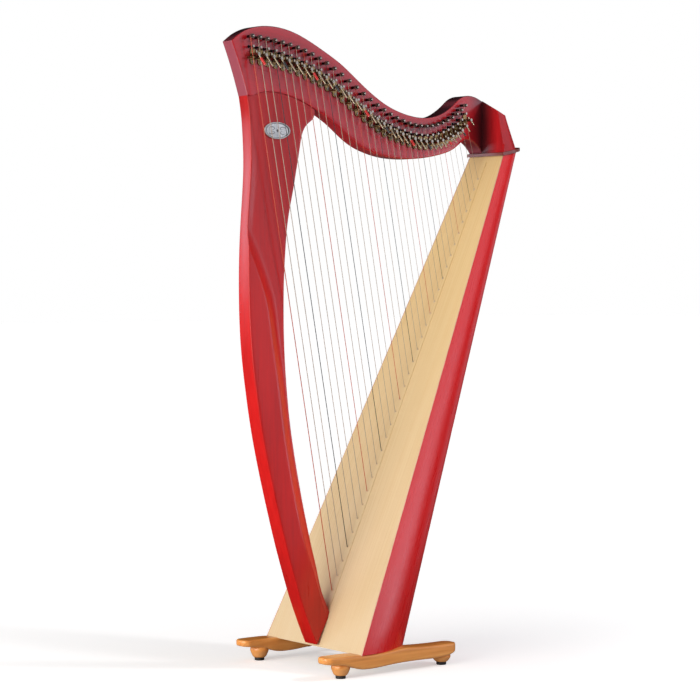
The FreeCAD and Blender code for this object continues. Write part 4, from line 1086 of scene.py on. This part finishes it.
def build_world():
    world = bpy.data.worlds.new("studio")
    bpy.context.scene.world = world
    world.use_nodes = True
    w = Nodes(world.node_tree)

    def vector_math(operation, inputs):
        return w.node("ShaderNodeVectorMath", inputs, operation=operation).outputs

    ray = w.node("ShaderNodeTexCoord").outputs["Generated"]
    direction = vector_math("NORMALIZE", {0: ray})[0]
    diffuse = w.node("ShaderNodeLightPath").outputs["Is Diffuse Ray"]
    total = None
    for azimuth, elevation, sharpness, strength, tint, diffuse_factor in LOBES:
        a, e = math.radians(azimuth), math.radians(elevation)
        toward = (math.cos(a) * math.cos(e), math.sin(a) * math.cos(e), math.sin(e))
        facing = vector_math("DOT_PRODUCT", {0: direction, 1: toward})["Value"]
        lobe = w.math("POWER", w.math("MAXIMUM", facing, 0.0), sharpness)
        lobe = w.math("MULTIPLY", lobe, strength)
        share = w.math("ADD", 1.0, w.math("MULTIPLY", diffuse, diffuse_factor - 1.0))
        lobe = w.math("MULTIPLY", lobe, share)
        light = vector_math("SCALE", {0: tint, "Scale": lobe})[0]
        total = light if total is None else vector_math("ADD", {0: total, 1: light})[0]
    studio = w.node("ShaderNodeBackground", {0: total, 1: 1.0})
    white = w.node("ShaderNodeBackground", {0: (1, 1, 1), 1: 1.0})
    camera = w.node("ShaderNodeLightPath").outputs["Is Camera Ray"]
    mixed = w.node("ShaderNodeMixShader", {0: camera, 1: studio.outputs[0], 2: white.outputs[0]})
    w.node("ShaderNodeOutputWorld", {0: mixed.outputs[0]})


build_world()


# ------------------------------------------------------------------------------------------
# Lights
def area_light(name, location, target, width, height, energy, color=(1, 1, 1)):
    """A rectangular light aimed at a target, hidden from the camera."""
    data = bpy.data.lights.new(name, "AREA")
    data.shape = "RECTANGLE"
    data.size, data.size_y = width, height
    data.energy = energy
    data.color = color
    light = bpy.data.objects.new(name, data)
    bpy.context.scene.collection.objects.link(light)
    light.location = location
    aim = Vector(target) - Vector(location)
    light.rotation_euler = aim.to_track_quat("-Z", "Y").to_euler()
    light.visible_camera = False
    return light


area_light("left_soft", location=(-2.9, -0.5, 0.66), target=(0, 0, 0.45),
           width=2.4, height=1.2, energy=40, color=(1.0, 0.97, 0.92))
right_front = area_light("right_front", location=(1.7, -2.0, 2.3), target=(0, 0, 0.95),
                         width=0.30, height=0.34, energy=29.5)
right_front.visible_glossy = False

# ------------------------------------------------------------------------------------------
# Camera
CAMERA_AZIMUTH = math.radians(-38.19)    # turn from looking along +Y
CAMERA_PITCH = math.radians(-1.95)
CAMERA_DISTANCE = 5.001                  # level distance back from the pivot
CAMERA_PIVOT = place(102.0, 0, 862.0)    # its height is the camera's height


def build_camera():
    data = bpy.data.cameras.new("camera")
    camera = bpy.data.objects.new("camera", data)
    bpy.context.scene.collection.objects.link(camera)
    data.sensor_width = 36.0
    data.lens = 116.69143
    data.clip_end = 100.0
    sine, cosine = math.sin(CAMERA_AZIMUTH), math.cos(CAMERA_AZIMUTH)
    level = math.cos(CAMERA_PITCH)
    forward = Vector((-sine * level, cosine * level, math.sin(CAMERA_PITCH)))
    right = Vector((cosine, sine, 0))
    axes = Matrix((right, right.cross(forward), -forward)).transposed()
    location = Vector(CAMERA_PIVOT) - Vector((-sine, cosine, 0)) * CAMERA_DISTANCE
    camera.matrix_world = Matrix.Translation(location) @ axes.to_4x4()
    bpy.context.scene.camera = camera


build_camera()

view = bpy.context.scene.view_settings
view.view_transform = "Standard"
view.look = "None"
view.exposure = 0.0

bpy.context.view_layer.update()
